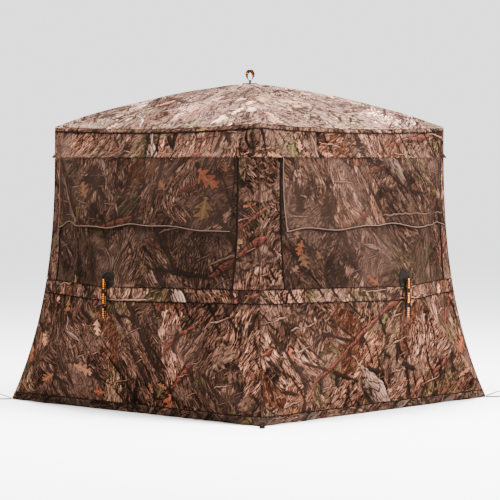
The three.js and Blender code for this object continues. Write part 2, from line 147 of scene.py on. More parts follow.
def wave(u, v, seed, scale, octaves=3):
    """Smooth seeded noise from -1 to 1: a few crossed sine waves, the same on every run."""
    rng = np.random.default_rng(seed)
    total = np.zeros(np.broadcast(u, v).shape)
    weight = 0.0
    for octave in range(octaves):
        k = scale * 1.9 ** octave
        for _ in range(5):
            angle, phase = rng.uniform(0, math.pi), rng.uniform(0, 2 * math.pi)
            stretch = rng.uniform(0.7, 1.4)
            along = np.cos(angle) * u + np.sin(angle) * v
            total = total + np.sin(k * stretch * along + phase) * 0.6 ** octave
        weight += 2.2 * 0.6 ** octave
    return total / weight


# ---- mesh helpers
def link(data, name):
    obj = bpy.data.objects.new(name, data)
    bpy.context.scene.collection.objects.link(obj)
    return obj


def smooth_mesh(name, verts, faces, uv):
    """A smooth object with a UV map in metres, given one UV pair for each vertex."""
    mesh = bpy.data.meshes.new(name)
    mesh.from_pydata(verts.tolist(), [], faces)
    corner_vertex = np.zeros(len(mesh.loops), np.int32)
    mesh.loops.foreach_get("vertex_index", corner_vertex)
    layer = mesh.uv_layers.new(name="UVMap")
    layer.data.foreach_set("uv", uv[corner_vertex].astype(np.float32).ravel())
    mesh.polygons.foreach_set("use_smooth", [True] * len(mesh.polygons))
    mesh.update()
    return link(mesh, name)


def quads(rows, cols, closed=False):
    """Faces between neighbouring rows of points; closed rows join their last point to their first."""
    return [[r * cols + c, r * cols + (c + 1) % cols, (r + 1) * cols + (c + 1) % cols, (r + 1) * cols + c]
            for r in range(rows - 1) for c in range(cols if closed else cols - 1)]


def tube_faces(rows, sides):
    """Faces of a capped tube made of rings of points."""
    last = (rows - 1) * sides
    return quads(rows, sides, True) + [list(range(sides)), list(range(last + sides - 1, last - 1, -1))]


def grid_object(name, points, uv):
    """A smooth sheet from rows of points."""
    return smooth_mesh(name, points.reshape(-1, 3), quads(*points.shape[:2]), uv.reshape(-1, 2))


@contextmanager
def mesh_edit(obj):
    """Opens an object's mesh for editing and writes it back."""
    bm = bmesh.new()
    bm.from_mesh(obj.data)
    yield bm
    bm.to_mesh(obj.data)
    bm.free()


def applied(obj):
    """Turns an object's modifiers into real mesh."""
    bpy.context.view_layer.update()
    made = bpy.data.meshes.new_from_object(obj.evaluated_get(bpy.context.evaluated_depsgraph_get()))
    obj.modifiers.clear()
    old, obj.data = obj.data, made
    bpy.data.meshes.remove(old)
    return obj


def thicken(obj, thickness, outer, inner):
    """Two faces and a rim, as real mesh, with the print outside and the lining inside."""
    obj.data.materials.append(outer)
    obj.data.materials.append(inner)
    solid = obj.modifiers.new("thickness", "SOLIDIFY")
    solid.thickness = thickness
    solid.offset = -1
    solid.material_offset = 1
    solid.material_offset_rim = 0
    return applied(obj)


def face_along(obj, direction=None):
    """Turns the faces to look along a direction or, without one, away from the middle axis."""
    total = 0.0
    for p in obj.data.polygons:
        way = Vector((p.center.x, p.center.y, 0)) if direction is None else Vector(direction)
        total += p.normal.dot(way) * p.area
    if total < 0:
        obj.data.flip_normals()
        obj.data.update()


def cord_object(name, path, radius):
    """A round cord along path, made from a bevelled curve."""
    curve = bpy.data.curves.new(name, "CURVE")
    curve.dimensions = "3D"
    curve.bevel_depth = radius
    curve.bevel_resolution = 2
    curve.use_fill_caps = True
    spline = curve.splines.new("POLY")
    spline.points.add(len(path) - 1)
    for point, place in zip(spline.points, path):
        point.co = (*place, 1)
    curve_obj = link(curve, name + "_curve")
    mesh = bpy.data.meshes.new_from_object(curve_obj.evaluated_get(bpy.context.evaluated_depsgraph_get()))
    bpy.data.objects.remove(curve_obj)
    mesh.name = name
    mesh.polygons.foreach_set("use_smooth", [True] * len(mesh.polygons))
    return link(mesh, name)


def carry(obj, body, replaced=None):
    """A piece that rides a body and the CAD node it stands for."""
    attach(obj, body)
    if replaced:
        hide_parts(replaced)
    return obj


def vertices(obj):
    co = np.zeros(len(obj.data.vertices) * 3)
    obj.data.vertices.foreach_get("co", co)
    return co.reshape(-1, 3)


# ---- shader helpers
class Nodes:
    """A short way to write a node tree."""

    def __init__(self, tree):
        self.tree = tree

    def add(self, kind, inputs=None, **settings):
        node = self.tree.nodes.new(kind)
        for key, value in settings.items():
            setattr(node, key, value)
        for key, value in (inputs or {}).items():
            self.put(node.inputs[key], value)
        return node

    def put(self, socket, value):
        if isinstance(value, bpy.types.NodeSocket):
            self.tree.links.new(value, socket)
        else:
            socket.default_value = value

    def math(self, operation, a, b=0.0, c=0.0, clamp=False):
        node = self.tree.nodes.new("ShaderNodeMath")
        node.operation = operation
        node.use_clamp = clamp
        for socket, value in zip(node.inputs, (a, b, c)):
            self.put(socket, value)
        return node.outputs[0]

    def vector(self, operation, a, b=(0, 0, 0), scale=None):
        node = self.tree.nodes.new("ShaderNodeVectorMath")
        node.operation = operation
        self.put(node.inputs[0], a)
        if scale is None:
            self.put(node.inputs[1], b)
        else:
            self.put(node.inputs["Scale"], scale)
        return node.outputs[0]

    def mix(self, factor, a, b, blend="MIX"):
        node = self.tree.nodes.new("ShaderNodeMix")
        node.data_type = "RGBA"
        node.blend_type = blend
        node.clamp_factor = True
        self.put(node.inputs[0], factor)
        self.put(node.inputs[6], a)
        self.put(node.inputs[7], b)
        return node.outputs[2]

    def ramp(self, factor, stops, interpolation="LINEAR"):
        node = self.tree.nodes.new("ShaderNodeValToRGB")
        node.color_ramp.interpolation = interpolation
        elements = node.color_ramp.elements
        while len(elements) < len(stops):
            elements.new(0.5)
        for element, (place, colour) in zip(elements, stops):
            element.position = place
            element.color = (*colour, 1) if len(colour) == 3 else colour
        self.put(node.inputs[0], factor)
        return node.outputs[0]

    def step(self, value, low, high, a=0.0, b=1.0):
        node = self.add("ShaderNodeMapRange", interpolation_type="SMOOTHSTEP", clamp=True)
        for key, v in zip(("Value", "From Min", "From Max", "To Min", "To Max"), (value, low, high, a, b)):
            self.put(node.inputs[key], v)
        return node.outputs[0]

    def noise(self, vector, scale, detail=3.0, roughness=0.55, distortion=0.0):
        return self.add("ShaderNodeTexNoise", {"Vector": vector, "Scale": scale, "Detail": detail,
                                               "Roughness": roughness, "Distortion": distortion})

    def voronoi(self, vector, scale, feature="F1", dims="2D"):
        node = self.add("ShaderNodeTexVoronoi", feature=feature, voronoi_dimensions=dims)
        self.put(node.inputs["Vector"], vector)
        self.put(node.inputs["Scale"], scale)
        return node

    def split(self, vector):
        return self.add("ShaderNodeSeparateXYZ", {"Vector": vector}).outputs

    def times(self, a, b, clamp=False):
        return self.math("MULTIPLY", a, b, clamp=clamp)

    def scaled(self, value, by, plus, clamp=False):
        return self.math("MULTIPLY_ADD", value, by, plus, clamp)

    def minus(self, a, b):
        return self.math("SUBTRACT", a, b)

    def absolute(self, a):
        return self.math("ABSOLUTE", a)

    def fraction(self, a):
        return self.math("FRACT", a)

    def cloud(self, *settings):
        return self.noise(*settings).outputs["Fac"]

    def cracks(self, vector, scale):
        return self.voronoi(vector, scale, "DISTANCE_TO_EDGE").outputs["Distance"]

    def channels(self, colour):
        return self.add("ShaderNodeSeparateColor", {"Color": colour}).outputs

    def stretched(self, vector, along, across):
        return self.vector("MULTIPLY", vector, (along, across, 1.0))

    def wander(self, vector, scale, detail, reach, roughness=0.55):
        """A smooth random shift of up to half of 'reach' each way."""
        drift = self.noise(vector, scale, detail, roughness).outputs["Color"]
        return self.vector("SCALE", self.vector("SUBTRACT", drift, (0.5, 0.5, 0.5)), scale=reach)

    def uv(self):
        return self.add("ShaderNodeUVMap", uv_map="UVMap").outputs[0]

    def object_place(self):
        return self.add("ShaderNodeTexCoord").outputs["Object"]

    def finish(self, shader, colour, roughness, height, strength, specular=0.0):
        """Fills in a surface, with a bump from a height in metres."""
        self.put(shader.inputs["Base Color"], colour)
        self.put(shader.inputs["Roughness"], roughness)
        self.put(shader.inputs["Specular IOR Level"], specular)
        bump = self.add("ShaderNodeBump", {"Height": height, "Strength": strength, "Distance": 1.0})
        self.put(shader.inputs["Normal"], bump.outputs[0])

    def turned(self, vector, angle):
        node = self.add("ShaderNodeVectorRotate", rotation_type="Z_AXIS")
        self.put(node.inputs["Vector"], vector)
        self.put(node.inputs["Angle"], angle)
        return node.outputs[0]


def new_group(name, inputs, outputs):
    tree = bpy.data.node_groups.new(name, "ShaderNodeTree")
    for label, kind in inputs:
        tree.interface.new_socket(label, in_out="INPUT", socket_type=kind)
    for label, kind in outputs:
        tree.interface.new_socket(label, in_out="OUTPUT", socket_type=kind)
    nodes = Nodes(tree)
    return tree, nodes, nodes.add("NodeGroupInput").outputs, nodes.add("NodeGroupOutput").inputs


def leaf_group():
    """Scattered lobed leaves: each Voronoi cell may hold one, turned at random."""
    tree, n, given, out = new_group(
        "scattered_leaves",
        [("Vector", "NodeSocketVector"), ("Share", "NodeSocketFloat")],
        [("Mask", "NodeSocketFloat"), ("Halo", "NodeSocketFloat"), ("Vein", "NodeSocketFloat"),
         ("Random", "NodeSocketColor"), ("Shade", "NodeSocketFloat")],
    )
    place = n.vector("ADD", given["Vector"], n.wander(given["Vector"], 5.0, 2.0, 0.10))
    cell = n.voronoi(place, 1.0)
    local = n.vector("SUBTRACT", place, cell.outputs["Position"])
    random = n.channels(cell.outputs["Color"])
    spun = n.split(n.turned(local, n.times(random[0], 6.2832)))
    size = n.scaled(random[1], 0.22, 0.27)
    x = n.math("DIVIDE", spun[0], size)
    y = n.absolute(n.math("DIVIDE", spun[1], size))
    body = n.math("SQRT", n.math("MAXIMUM", n.minus(1.0, n.times(x, x)), 0.0))
    lobe_place = n.times(n.minus(x, n.times(y, 0.7)), 11.0)
    lobe = n.scaled(n.math("COSINE", lobe_place), 0.34, 0.66)
    width = n.times(n.times(body, lobe), 0.62)
    edge = n.minus(width, y)
    present = n.math("LESS_THAN", random[2], given["Share"])
    n.put(out["Mask"], n.times(n.step(edge, 0.0, 0.03), present))
    n.put(out["Halo"], n.times(n.step(edge, -0.32, 0.0), present))
    rib = n.step(y, 0.02, 0.06, 1.0, 0.0)
    ribs_place = n.fraction(n.times(n.minus(x, n.times(y, 0.9)), 3.5))
    ribs = n.step(n.absolute(n.minus(ribs_place, 0.5)), 0.02, 0.10, 0.6, 0.0)
    n.put(out["Vein"], n.math("MAXIMUM", rib, ribs))
    n.put(out["Random"], cell.outputs["Color"])
    n.put(out["Shade"], n.scaled(spun[1], 1.2, 0.5, clamp=True))
    return tree


def limb_group():
    """Long wandering branches in one direction, lit along one edge."""
    tree, n, given, out = new_group(
        "branches",
        [("Vector", "NodeSocketVector"), ("Share", "NodeSocketFloat"), ("Thickness", "NodeSocketFloat")],
        [("Mask", "NodeSocketFloat"), ("Halo", "NodeSocketFloat"), ("Across", "NodeSocketFloat"),
         ("Random", "NodeSocketFloat"), ("Grain", "NodeSocketFloat")],
    )
    place = n.split(n.vector("ADD", given["Vector"], n.wander(given["Vector"], 0.55, 3.0, 0.75, 0.6)))
    lane = n.math("FLOOR", place[1])
    white = n.add("ShaderNodeTexWhiteNoise", {"W": lane}, noise_dimensions="1D")
    shift = n.scaled(white.outputs["Value"], 0.5, -0.25)
    across = n.minus(n.minus(n.fraction(place[1]), 0.5), shift)
    stretch = n.add("ShaderNodeCombineXYZ", {"X": n.times(place[0], 0.35), "Y": n.times(lane, 7.3)})
    there = n.cloud(stretch.outputs[0], 1.0, 2.0)
    taper = n.step(there, n.minus(0.72, given["Share"]), n.minus(0.86, given["Share"]))
    radius = n.times(n.times(taper, given["Thickness"]),
                    n.scaled(white.outputs["Value"], 0.7, 0.5))
    distance = n.absolute(across)
    edge = n.minus(radius, distance)
    n.put(out["Mask"], n.step(edge, 0.0, 0.015))
    n.put(out["Halo"], n.times(n.step(edge, -0.10, 0.0), taper))
    n.put(out["Across"], n.math("DIVIDE", across, n.math("MAXIMUM", radius, 0.001)))
    n.put(out["Random"], white.outputs["Value"])
    fibres = n.add("ShaderNodeCombineXYZ", {"X": n.times(place[0], 6.0), "Y": n.times(place[1], 34.0)})
    flakes = n.cracks(fibres.outputs[0], 0.55)
    grain = n.cloud(fibres.outputs[0], 1.3, 4.0, 0.65)
    n.put(out["Grain"], n.times(grain, n.step(flakes, 0.0, 0.14, 0.45, 1.12)))
    return tree


def camo_group(leaves, limbs):
    """Cracked bark, branches and dead oak leaves, printed at full size: 1 unit of the vector is 1 m."""
    tree, n, given, out = new_group(
        "woodland_print", [("Vector", "NodeSocketVector")],
        [("Color", "NodeSocketColor"), ("Height", "NodeSocketFloat")],
    )
    start = given["Vector"]

    def slivers(colour, around, rows, width, *texture):
        """Thin streaks drawn over a colour: (turn, stretch, threshold, strength, shade) rows."""
        for turn_by, (along, across), low, share, shade in rows:
            sliver = n.cloud(n.stretched(n.turned(around, turn_by), along, across), 1.0, *texture)
            colour = n.mix(n.step(sliver, low, low + width, 0.0, share), colour, shade)
        return colour

    warped = n.vector("ADD", start, n.wander(start, 3.2, 3.0, 0.13))
    # tall patches of bark, most of them upright, each with its own lean and tone
    patch = n.voronoi(n.stretched(warped, 6.4, 3.6), 1.0)
    tone = n.channels(patch.outputs["Color"])
    angle = n.scaled(tone[0], 1.5, -0.75)
    leaning = n.turned(warped, angle)
    leaning = n.vector("ADD", leaning, n.wander(start, 16.0, 3.0, 0.014))
    plates_at = n.stretched(leaning, 62.0, 17.0)
    plate = n.voronoi(plates_at, 1.0)
    plate_tone = n.channels(plate.outputs["Color"])
    crack = n.cracks(plates_at, 1.0)
    fibre = n.cloud(n.stretched(leaning, 230.0, 26.0), 1.0, 4.0, 0.65, 0.4)
    broad = n.cloud(n.stretched(leaning, 30.0, 6.0), 1.0, 4.0, 0.62, 0.8)
    lit = n.scaled(n.step(fibre, 0.34, 0.68), 0.46, n.times(n.step(broad, 0.34, 0.66), 0.50))
    lit = n.math("ADD", lit, n.scaled(plate_tone[0], 0.36, -0.20))
    deep = n.step(crack, 0.02, 0.17)
    lit = n.times(lit, n.scaled(deep, 0.85, 0.15), clamp=True)
    bark = n.ramp(lit, [
        (0.0, (0.0030, 0.0016, 0.0012)), (0.22, (0.016, 0.0080, 0.0056)), (0.45, (0.046, 0.0235, 0.0165)),
        (0.68, (0.098, 0.054, 0.039)), (0.86, (0.19, 0.118, 0.090)), (1.0, (0.32, 0.215, 0.170)),
    ])
    # long light ridges and dark splits that run with the bark
    bark = slivers(bark, leaning, (
        (0.05, (150.0, 15.0), 0.545, 0.55, (0.200, 0.122, 0.090, 1)),
        (-0.09, (210.0, 26.0), 0.560, 0.50, (0.150, 0.080, 0.052, 1)),
        (-0.04, (120.0, 9.0), 0.550, 0.92, (0.0022, 0.0013, 0.0010, 1)),
        (0.10, (170.0, 17.0), 0.560, 0.85, (0.0026, 0.0015, 0.0012, 1)),
    ), 0.04, 4.0, 0.64, 0.12)
    strength = n.scaled(n.times(tone[1], tone[1]), 1.15, 0.52)
    shaded = n.vector("SCALE", bark, scale=strength)
    colour = n.mix(n.step(tone[2], 0.86, 0.90, 0.0, 0.20), shaded, (0.034, 0.040, 0.012, 1))
    colour = n.mix(n.step(tone[2], 0.13, 0.09, 0.0, 0.12), colour, (0.115, 0.036, 0.014, 1))
    height = lit
    # sawn-off log ends and smooth greyed wood, quiet against the bark
    calm = n.step(n.cloud(start, 4.2, 2.0), 0.555, 0.585)
    end_place = n.turned(warped, n.scaled(tone[2], 1.2, -0.4))
    end_grain = n.cloud(n.stretched(end_place, 190.0, 15.0), 1.0, 5.0, 0.68, 0.1)
    checks = n.cracks(n.stretched(end_place, 34.0, 20.0), 1.0)
    end_lit = n.times(end_grain, n.step(checks, 0.0, 0.07, 0.62, 1.0))
    grey = n.ramp(end_lit, [(0.24, (0.0032, 0.0019, 0.0014)), (0.38, (0.022, 0.0120, 0.0088)),
                            (0.50, (0.060, 0.035, 0.0265)), (0.62, (0.120, 0.076, 0.0585))])
    colour = n.mix(n.times(calm, 0.88), colour, grey)
    # dark hollows between the trunks
    hollow = n.cloud(n.stretched(warped, 7.0, 3.2), 1.0, 3.0, 0.6, 0.6)
    colour = n.mix(n.step(hollow, 0.575, 0.66, 0.0, 0.88), colour, (0.0028, 0.0016, 0.0012, 1))
    # a little cross litter over it
    colour = slivers(colour, start, (
        (0.9, (130.0, 26.0), 0.610, 0.45, (0.190, 0.112, 0.080, 1)),
        (-0.8, (120.0, 20.0), 0.610, 0.60, (0.0030, 0.0017, 0.0013, 1)),
    ), 0.05, 3.0, 0.6, 0.9)
    # branches, from wide trunks to twigs
    for angle, scale, share, thick, bark_dark, bark_light in (
        (1.42, 2.2, 0.18, 0.22, (0.0060, 0.0032, 0.0024, 1), (0.125, 0.074, 0.056, 1)),
        (0.72, 3.4, 0.17, 0.18, (0.0090, 0.0052, 0.0040, 1), (0.185, 0.122, 0.096, 1)),
        (-1.05, 4.6, 0.18, 0.16, (0.0070, 0.0036, 0.0026, 1), (0.100, 0.058, 0.042, 1)),
        (-0.62, 7.2, 0.19, 0.13, (0.0120, 0.0042, 0.0030, 1), (0.130, 0.050, 0.036, 1)),
        (1.20, 9.5, 0.20, 0.11, (0.0040, 0.0024, 0.0018, 1), (0.030, 0.018, 0.014, 1)),
        (0.30, 11.5, 0.19, 0.10, (0.0040, 0.0024, 0.0018, 1), (0.024, 0.014, 0.011, 1)),
        (0.95, 15.0, 0.24, 0.060, (0.0024, 0.0015, 0.0012, 1), (0.012, 0.007, 0.005, 1)),
        (-0.25, 13.0, 0.20, 0.065, (0.040, 0.023, 0.017, 1), (0.190, 0.118, 0.088, 1)),
    ):
        branch = n.add("ShaderNodeGroup", node_tree=limbs)
        n.put(branch.inputs["Vector"], n.vector("SCALE", n.turned(start, angle), scale=scale))
        n.put(branch.inputs["Share"], share)
        n.put(branch.inputs["Thickness"], thick)
        lighting = n.scaled(branch.outputs["Across"], 0.34, 0.34)
        lighting = n.math("ADD", lighting, n.scaled(branch.outputs["Grain"], 2.1, -1.02), clamp=True)
        wood = n.mix(lighting, bark_dark, bark_light)
        colour = n.mix(n.times(branch.outputs["Halo"], 0.80), colour, (0.0024, 0.0014, 0.0011, 1))
        colour = n.mix(branch.outputs["Mask"], colour, wood)
        height = n.math("ADD", height, branch.outputs["Mask"])
    # dead oak leaves in loose drifts
    drift = n.cloud(start, 2.1, 2.0)
    for scale, share, shift in ((5.6, 0.34, 3.1), (9.6, 0.42, 7.7)):
        leaf = n.add("ShaderNodeGroup", node_tree=leaves)
        moved = n.vector("ADD", start, (shift, shift * 0.7, 0))
        n.put(leaf.inputs["Vector"], n.vector("SCALE", moved, scale=scale))
        n.put(leaf.inputs["Share"], n.times(n.step(drift, 0.47, 0.60), share))
        pick = n.channels(leaf.outputs["Random"])
        skin = n.ramp(pick[1], [
            (0.0, (0.120, 0.060, 0.034)), (0.26, (0.165, 0.092, 0.058)), (0.50, (0.150, 0.052, 0.027)),
            (0.68, (0.105, 0.068, 0.030)), (0.80, (0.260, 0.150, 0.100)), (0.90, (0.044, 0.044, 0.019)),
        ], "CONSTANT")
        mottle = n.cloud(moved, 55.0, 4.0, 0.65)
        skin = n.mix(n.step(mottle, 0.42, 0.68, 0.0, 0.65), skin, (0.022, 0.011, 0.007, 1))
        skin = n.mix(n.times(leaf.outputs["Shade"], 0.45), skin, (0.020, 0.010, 0.007, 1))
        skin = n.mix(n.times(leaf.outputs["Vein"], 0.30), skin, (0.21, 0.118, 0.074, 1))
        colour = n.mix(n.times(leaf.outputs["Halo"], 0.72), colour, (0.0028, 0.0016, 0.0012, 1))
        colour = n.mix(leaf.outputs["Mask"], colour, skin)
        height = n.math("ADD", height, leaf.outputs["Mask"])
    # grass blades in a few clumps
    blades = n.cloud(n.stretched(n.turned(start, 0.35), 130.0, 10.0), 1.0, 2.0, 0.5, 0.4)
    clumps = n.cloud(start, 5.5, 2.0)
    blade_mask = n.times(n.step(blades, 0.57, 0.61), n.step(clumps, 0.63, 0.67))
    colour = n.mix(n.times(blade_mask, 0.55), colour, (0.085, 0.082, 0.040, 1))
    n.put(out["Color"], colour)
    n.put(out["Height"], height)
    return tree


CAMO = camo_group(leaf_group(), limb_group())
MID_BROWN = 0.05


def principled(name):
    material = bpy.data.materials.new(name)
    material.use_nodes = True
    tree = material.node_tree
    tree.nodes.clear()
    n = Nodes(tree)
    shader = n.add("ShaderNodeBsdfPrincipled")
    target = n.add("ShaderNodeOutputMaterial")
    tree.links.new(shader.outputs[0], target.inputs[0])
    return material, n, shader, target


def weave_height(n, uv, threads=900.0):
    """Plain weave: crossing threads, 'threads' of them to the metre."""
    place = n.split(n.vector("SCALE", uv, scale=threads * math.pi))
    over = n.times(n.math("SINE", place[0]), n.math("SINE", place[1]))
    return n.scaled(over, 0.5, 0.5)


def camo_cloth(name, gain, shift, saturation=1.0, fade=0.0, contrast=1.15, spin=0.0, roughness=0.88,
               see_through=0.0):
    """Printed cloth: the woodland print turned and shifted on this cloth, over a plain weave."""
    material, n, shader, target = principled(name)
    uv = n.uv()
    moved = n.vector("ADD", n.turned(uv, spin), (shift[0], shift[1], 0))
    print_node = n.add("ShaderNodeGroup", {"Vector": moved}, node_tree=CAMO)
    # contrast is set about a mid brown, so that it doesn't darken the whole print
    sharper = n.add("ShaderNodeGamma", {"Color": print_node.outputs["Color"], "Gamma": contrast}).outputs[0]
    value = gain * MID_BROWN ** (1 - contrast)
    graded = {"Saturation": saturation, "Value": value, "Color": sharper}
    colour = n.add("ShaderNodeHueSaturation", graded).outputs[0]
    faded = n.cloud(uv, 2.3, 3.0)
    dust = n.scaled(n.step(faded, 0.35, 0.75), 0.05, fade)
    colour = n.mix(dust, colour, (0.20, 0.115, 0.088, 1))
    weave = weave_height(n, uv)
    colour = n.mix(n.times(weave, 0.16), colour, (0.02, 0.014, 0.012, 1))
    crumple = n.cloud(uv, 14.0, 4.0, 0.55, 0.3)
    height = n.math("ADD", n.times(weave, 0.00010), n.times(crumple, 0.0035))
    n.finish(shader, colour, n.scaled(faded, 0.14, roughness - 0.08), height, 0.55)
    if see_through:
        place = n.split(n.vector("SCALE", uv, scale=620.0))
        fx = n.absolute(n.minus(n.fraction(place[0]), 0.5))
        fy = n.absolute(n.minus(n.fraction(place[1]), 0.5))
        half = 0.5 * math.sqrt(see_through)
        hole = n.times(n.math("LESS_THAN", fx, half), n.math("LESS_THAN", fy, half))
        clear = n.add("ShaderNodeBsdfTransparent")
        blend = n.add("ShaderNodeMixShader")
        n.put(blend.inputs[0], hole)
        n.put(blend.inputs[1], shader.outputs[0])
        n.put(blend.inputs[2], clear.outputs[0])
        n.put(target.inputs[0], blend.outputs[0])
    return material


def lining():
    material, n, shader, _ = principled("black_coated_lining")
    uv = n.uv()
    mottled = n.cloud(uv, 18.0, 4.0)
    colour = n.ramp(mottled, [(0.3, (0.0060, 0.0056, 0.0054)), (0.7, (0.0130, 0.0118, 0.0112))])
    crumple = n.math("ADD", n.times(n.cloud(uv, 22.0, 4.0), 0.003), n.times(weave_height(n, uv), 0.0001))
    n.finish(shader, colour, n.scaled(mottled, 0.2, 0.6), crumple, 0.5)
    return material


def webbing(name, marks=False):
    """Ribbed black webbing; the pull straps carry plain woven orange dashes."""
    material, n, shader, _ = principled(name)
    uv = n.split(n.uv())
    ribs = n.math("SINE", n.times(uv[0], 2 * math.pi / 0.0021))
    twill = n.math("SINE", n.times(n.math("ADD", uv[0], n.times(uv[1], 0.6)), 2 * math.pi / 0.0032))
    wear = n.cloud(n.uv(), 60.0, 3.0)
    colour = n.ramp(wear, [(0.3, (0.0045, 0.0036, 0.0030)), (0.75, (0.012, 0.009, 0.0075))])
    if marks:
        # a running row of small plain blocks, each cut by a slanted slit
        cell = n.fraction(n.math("DIVIDE", uv[0], 0.0105))
        block = n.times(n.step(n.absolute(n.minus(cell, 0.5)), 0.30, 0.25),
                       n.step(n.absolute(uv[1]), 0.0052, 0.0046))
        slant = n.absolute(n.math("ADD", n.minus(cell, 0.5), n.times(uv[1], 30.0)))
        block = n.times(block, n.step(slant, 0.06, 0.10))
        phrase = n.fraction(n.math("DIVIDE", uv[0], 0.074))
        block = n.times(block, n.step(phrase, 0.70, 0.69))
        colour = n.mix(block, colour, (0.72, 0.19, 0.002, 1))
    height = n.times(n.math("ADD", ribs, twill), 0.00012)
    n.finish(shader, colour, n.scaled(wear, 0.2, 0.62), height, 0.7)
    return material


def thread(name, colour):
    material, n, shader, _ = principled(name)
    place = n.object_place()
    twist = n.cloud(place, 900.0, 2.0)
    dark = tuple(0.5 * c for c in colour)
    n.finish(shader, n.ramp(twist, [(0.35, dark), (0.65, colour)]), 0.7, n.times(twist, 0.0004), 0.6)
    return material


def plastic(name, base, rough):
    material, n, shader, _ = principled(name)
    place = n.object_place()
    grain = n.cloud(place, 700.0, 3.0)
    scuff = n.cloud(place, 45.0, 5.0, 0.7)
    light = tuple(min(1.0, c * 2.2 + 0.004) for c in base)
    colour = n.ramp(n.step(scuff, 0.45, 0.75), [(0.0, base), (1.0, light)])
    n.finish(shader, colour, n.scaled(scuff, 0.3, rough - 0.1), n.times(grain, 0.00006), 0.8, specular=0.02)
    return material


def fibreglass():
    """Pultruded rod: long fibres under a satin black coat."""
    material, n, shader, _ = principled("fibreglass_pole")
    place = n.object_place()
    streak = n.cloud(n.vector("MULTIPLY", place, (260.0, 260.0, 40.0)), 1.0, 3.0)
    colour = n.ramp(streak, [(0.35, (0.016, 0.017, 0.019)), (0.7, (0.055, 0.056, 0.060))])
    n.finish(shader, colour, n.scaled(streak, 0.2, 0.25), n.times(streak, 0.0001), 0.5, specular=0.5)
    shader.inputs["Coat Weight"].default_value = 0.2
    return material


def metal(name, base=(0.55, 0.55, 0.56)):
    material, n, shader, _ = principled(name)
    place = n.object_place()
    brushed = n.cloud(n.vector("MULTIPLY", place, (900.0, 900.0, 120.0)), 1.0, 3.0)
    n.put(shader.inputs["Base Color"], n.ramp(brushed, [(0.3, tuple(0.7 * c for c in base)), (0.7, base)]))
    shader.inputs["Metallic"].default_value = 1.0
    n.put(shader.inputs["Roughness"], n.scaled(brushed, 0.25, 0.25))
    return material


LINING = lining()
# the roof's copy of the print has a much higher gain than the walls': partly faded cloth, partly painted
# light from overhead
ROOF_CAMO = camo_cloth("roof_camo_cloth", 1.62, (4.1, 2.3), saturation=0.84, fade=0.02, contrast=1.22)
BAND_CAMO = camo_cloth("eave_band_camo_cloth", 0.74, (7.7, 1.9), contrast=1.30, spin=0.45)
WALL_CAMO = camo_cloth("wall_camo_cloth", 0.66, (1.3, 5.2), contrast=1.40)
FLAP_CAMO = camo_cloth("flap_camo_cloth", 0.30, (9.4, 3.8), fade=0.01, contrast=1.28, spin=0.25)
MID_CAMO = camo_cloth("middle_band_camo_cloth", 0.92, (12.7, 3.4), contrast=1.32, spin=0.2)
STRIP_CAMO = camo_cloth("corner_strip_camo_cloth", 0.64, (2.2, 8.1), contrast=1.32)
MESH_CAMO = camo_cloth("window_camo_mesh", 0.30, (6.6, 6.1), fade=0.01, contrast=1.22, spin=-0.1,
                       roughness=0.95, see_through=0.02)
HEM_CAMO = camo_cloth("hem_camo_cloth", 0.55, (3.7, 9.2), spin=1.5)
STRAP = webbing("marked_pull_webbing", marks=True)
LOOP = webbing("plain_black_webbing")
# black tape for the door zip, also used for painted shadow strips on the window covers
BLACK_TAPE_AND_SHADOW = webbing("black_tape_and_painted_shadow")
THREAD = thread("brown_thread", (0.030, 0.019, 0.014))
PIPING = thread("tan_piping", (0.105, 0.064, 0.047))
WELT = thread("reddish_corner_welt", (0.024, 0.0115, 0.0085))
# near-black seam tape; the same tape also draws painted shadow lines beside the corner strips and under the
# roof's edge
SEAM_TAPE_AND_SHADOW = thread("dark_seam_tape_and_painted_shadow", (0.0080, 0.0050, 0.0040))
HUB_PLASTIC = plastic("hub_nylon", (0.0050, 0.0036, 0.0028), rough=0.6)
SLIDER = metal("zip_slider_metal", (0.20, 0.19, 0.18))
TEETH = plastic("zip_coil_nylon", (0.020, 0.017, 0.015), rough=0.35)
POLE = fibreglass()
FERRULE = metal("pole_ferrule")


# ---- camera, floor and light
CAMERA_AZIMUTH = math.radians(42.5)
CAMERA_DISTANCE = 11.6
CAMERA_HEIGHT = 1.26
CAMERA_LENS = 154.8
CAMERA_PITCH = math.radians(2.265)
WORLD_STRENGTH = 2.2
FLOOR_HALF = 14


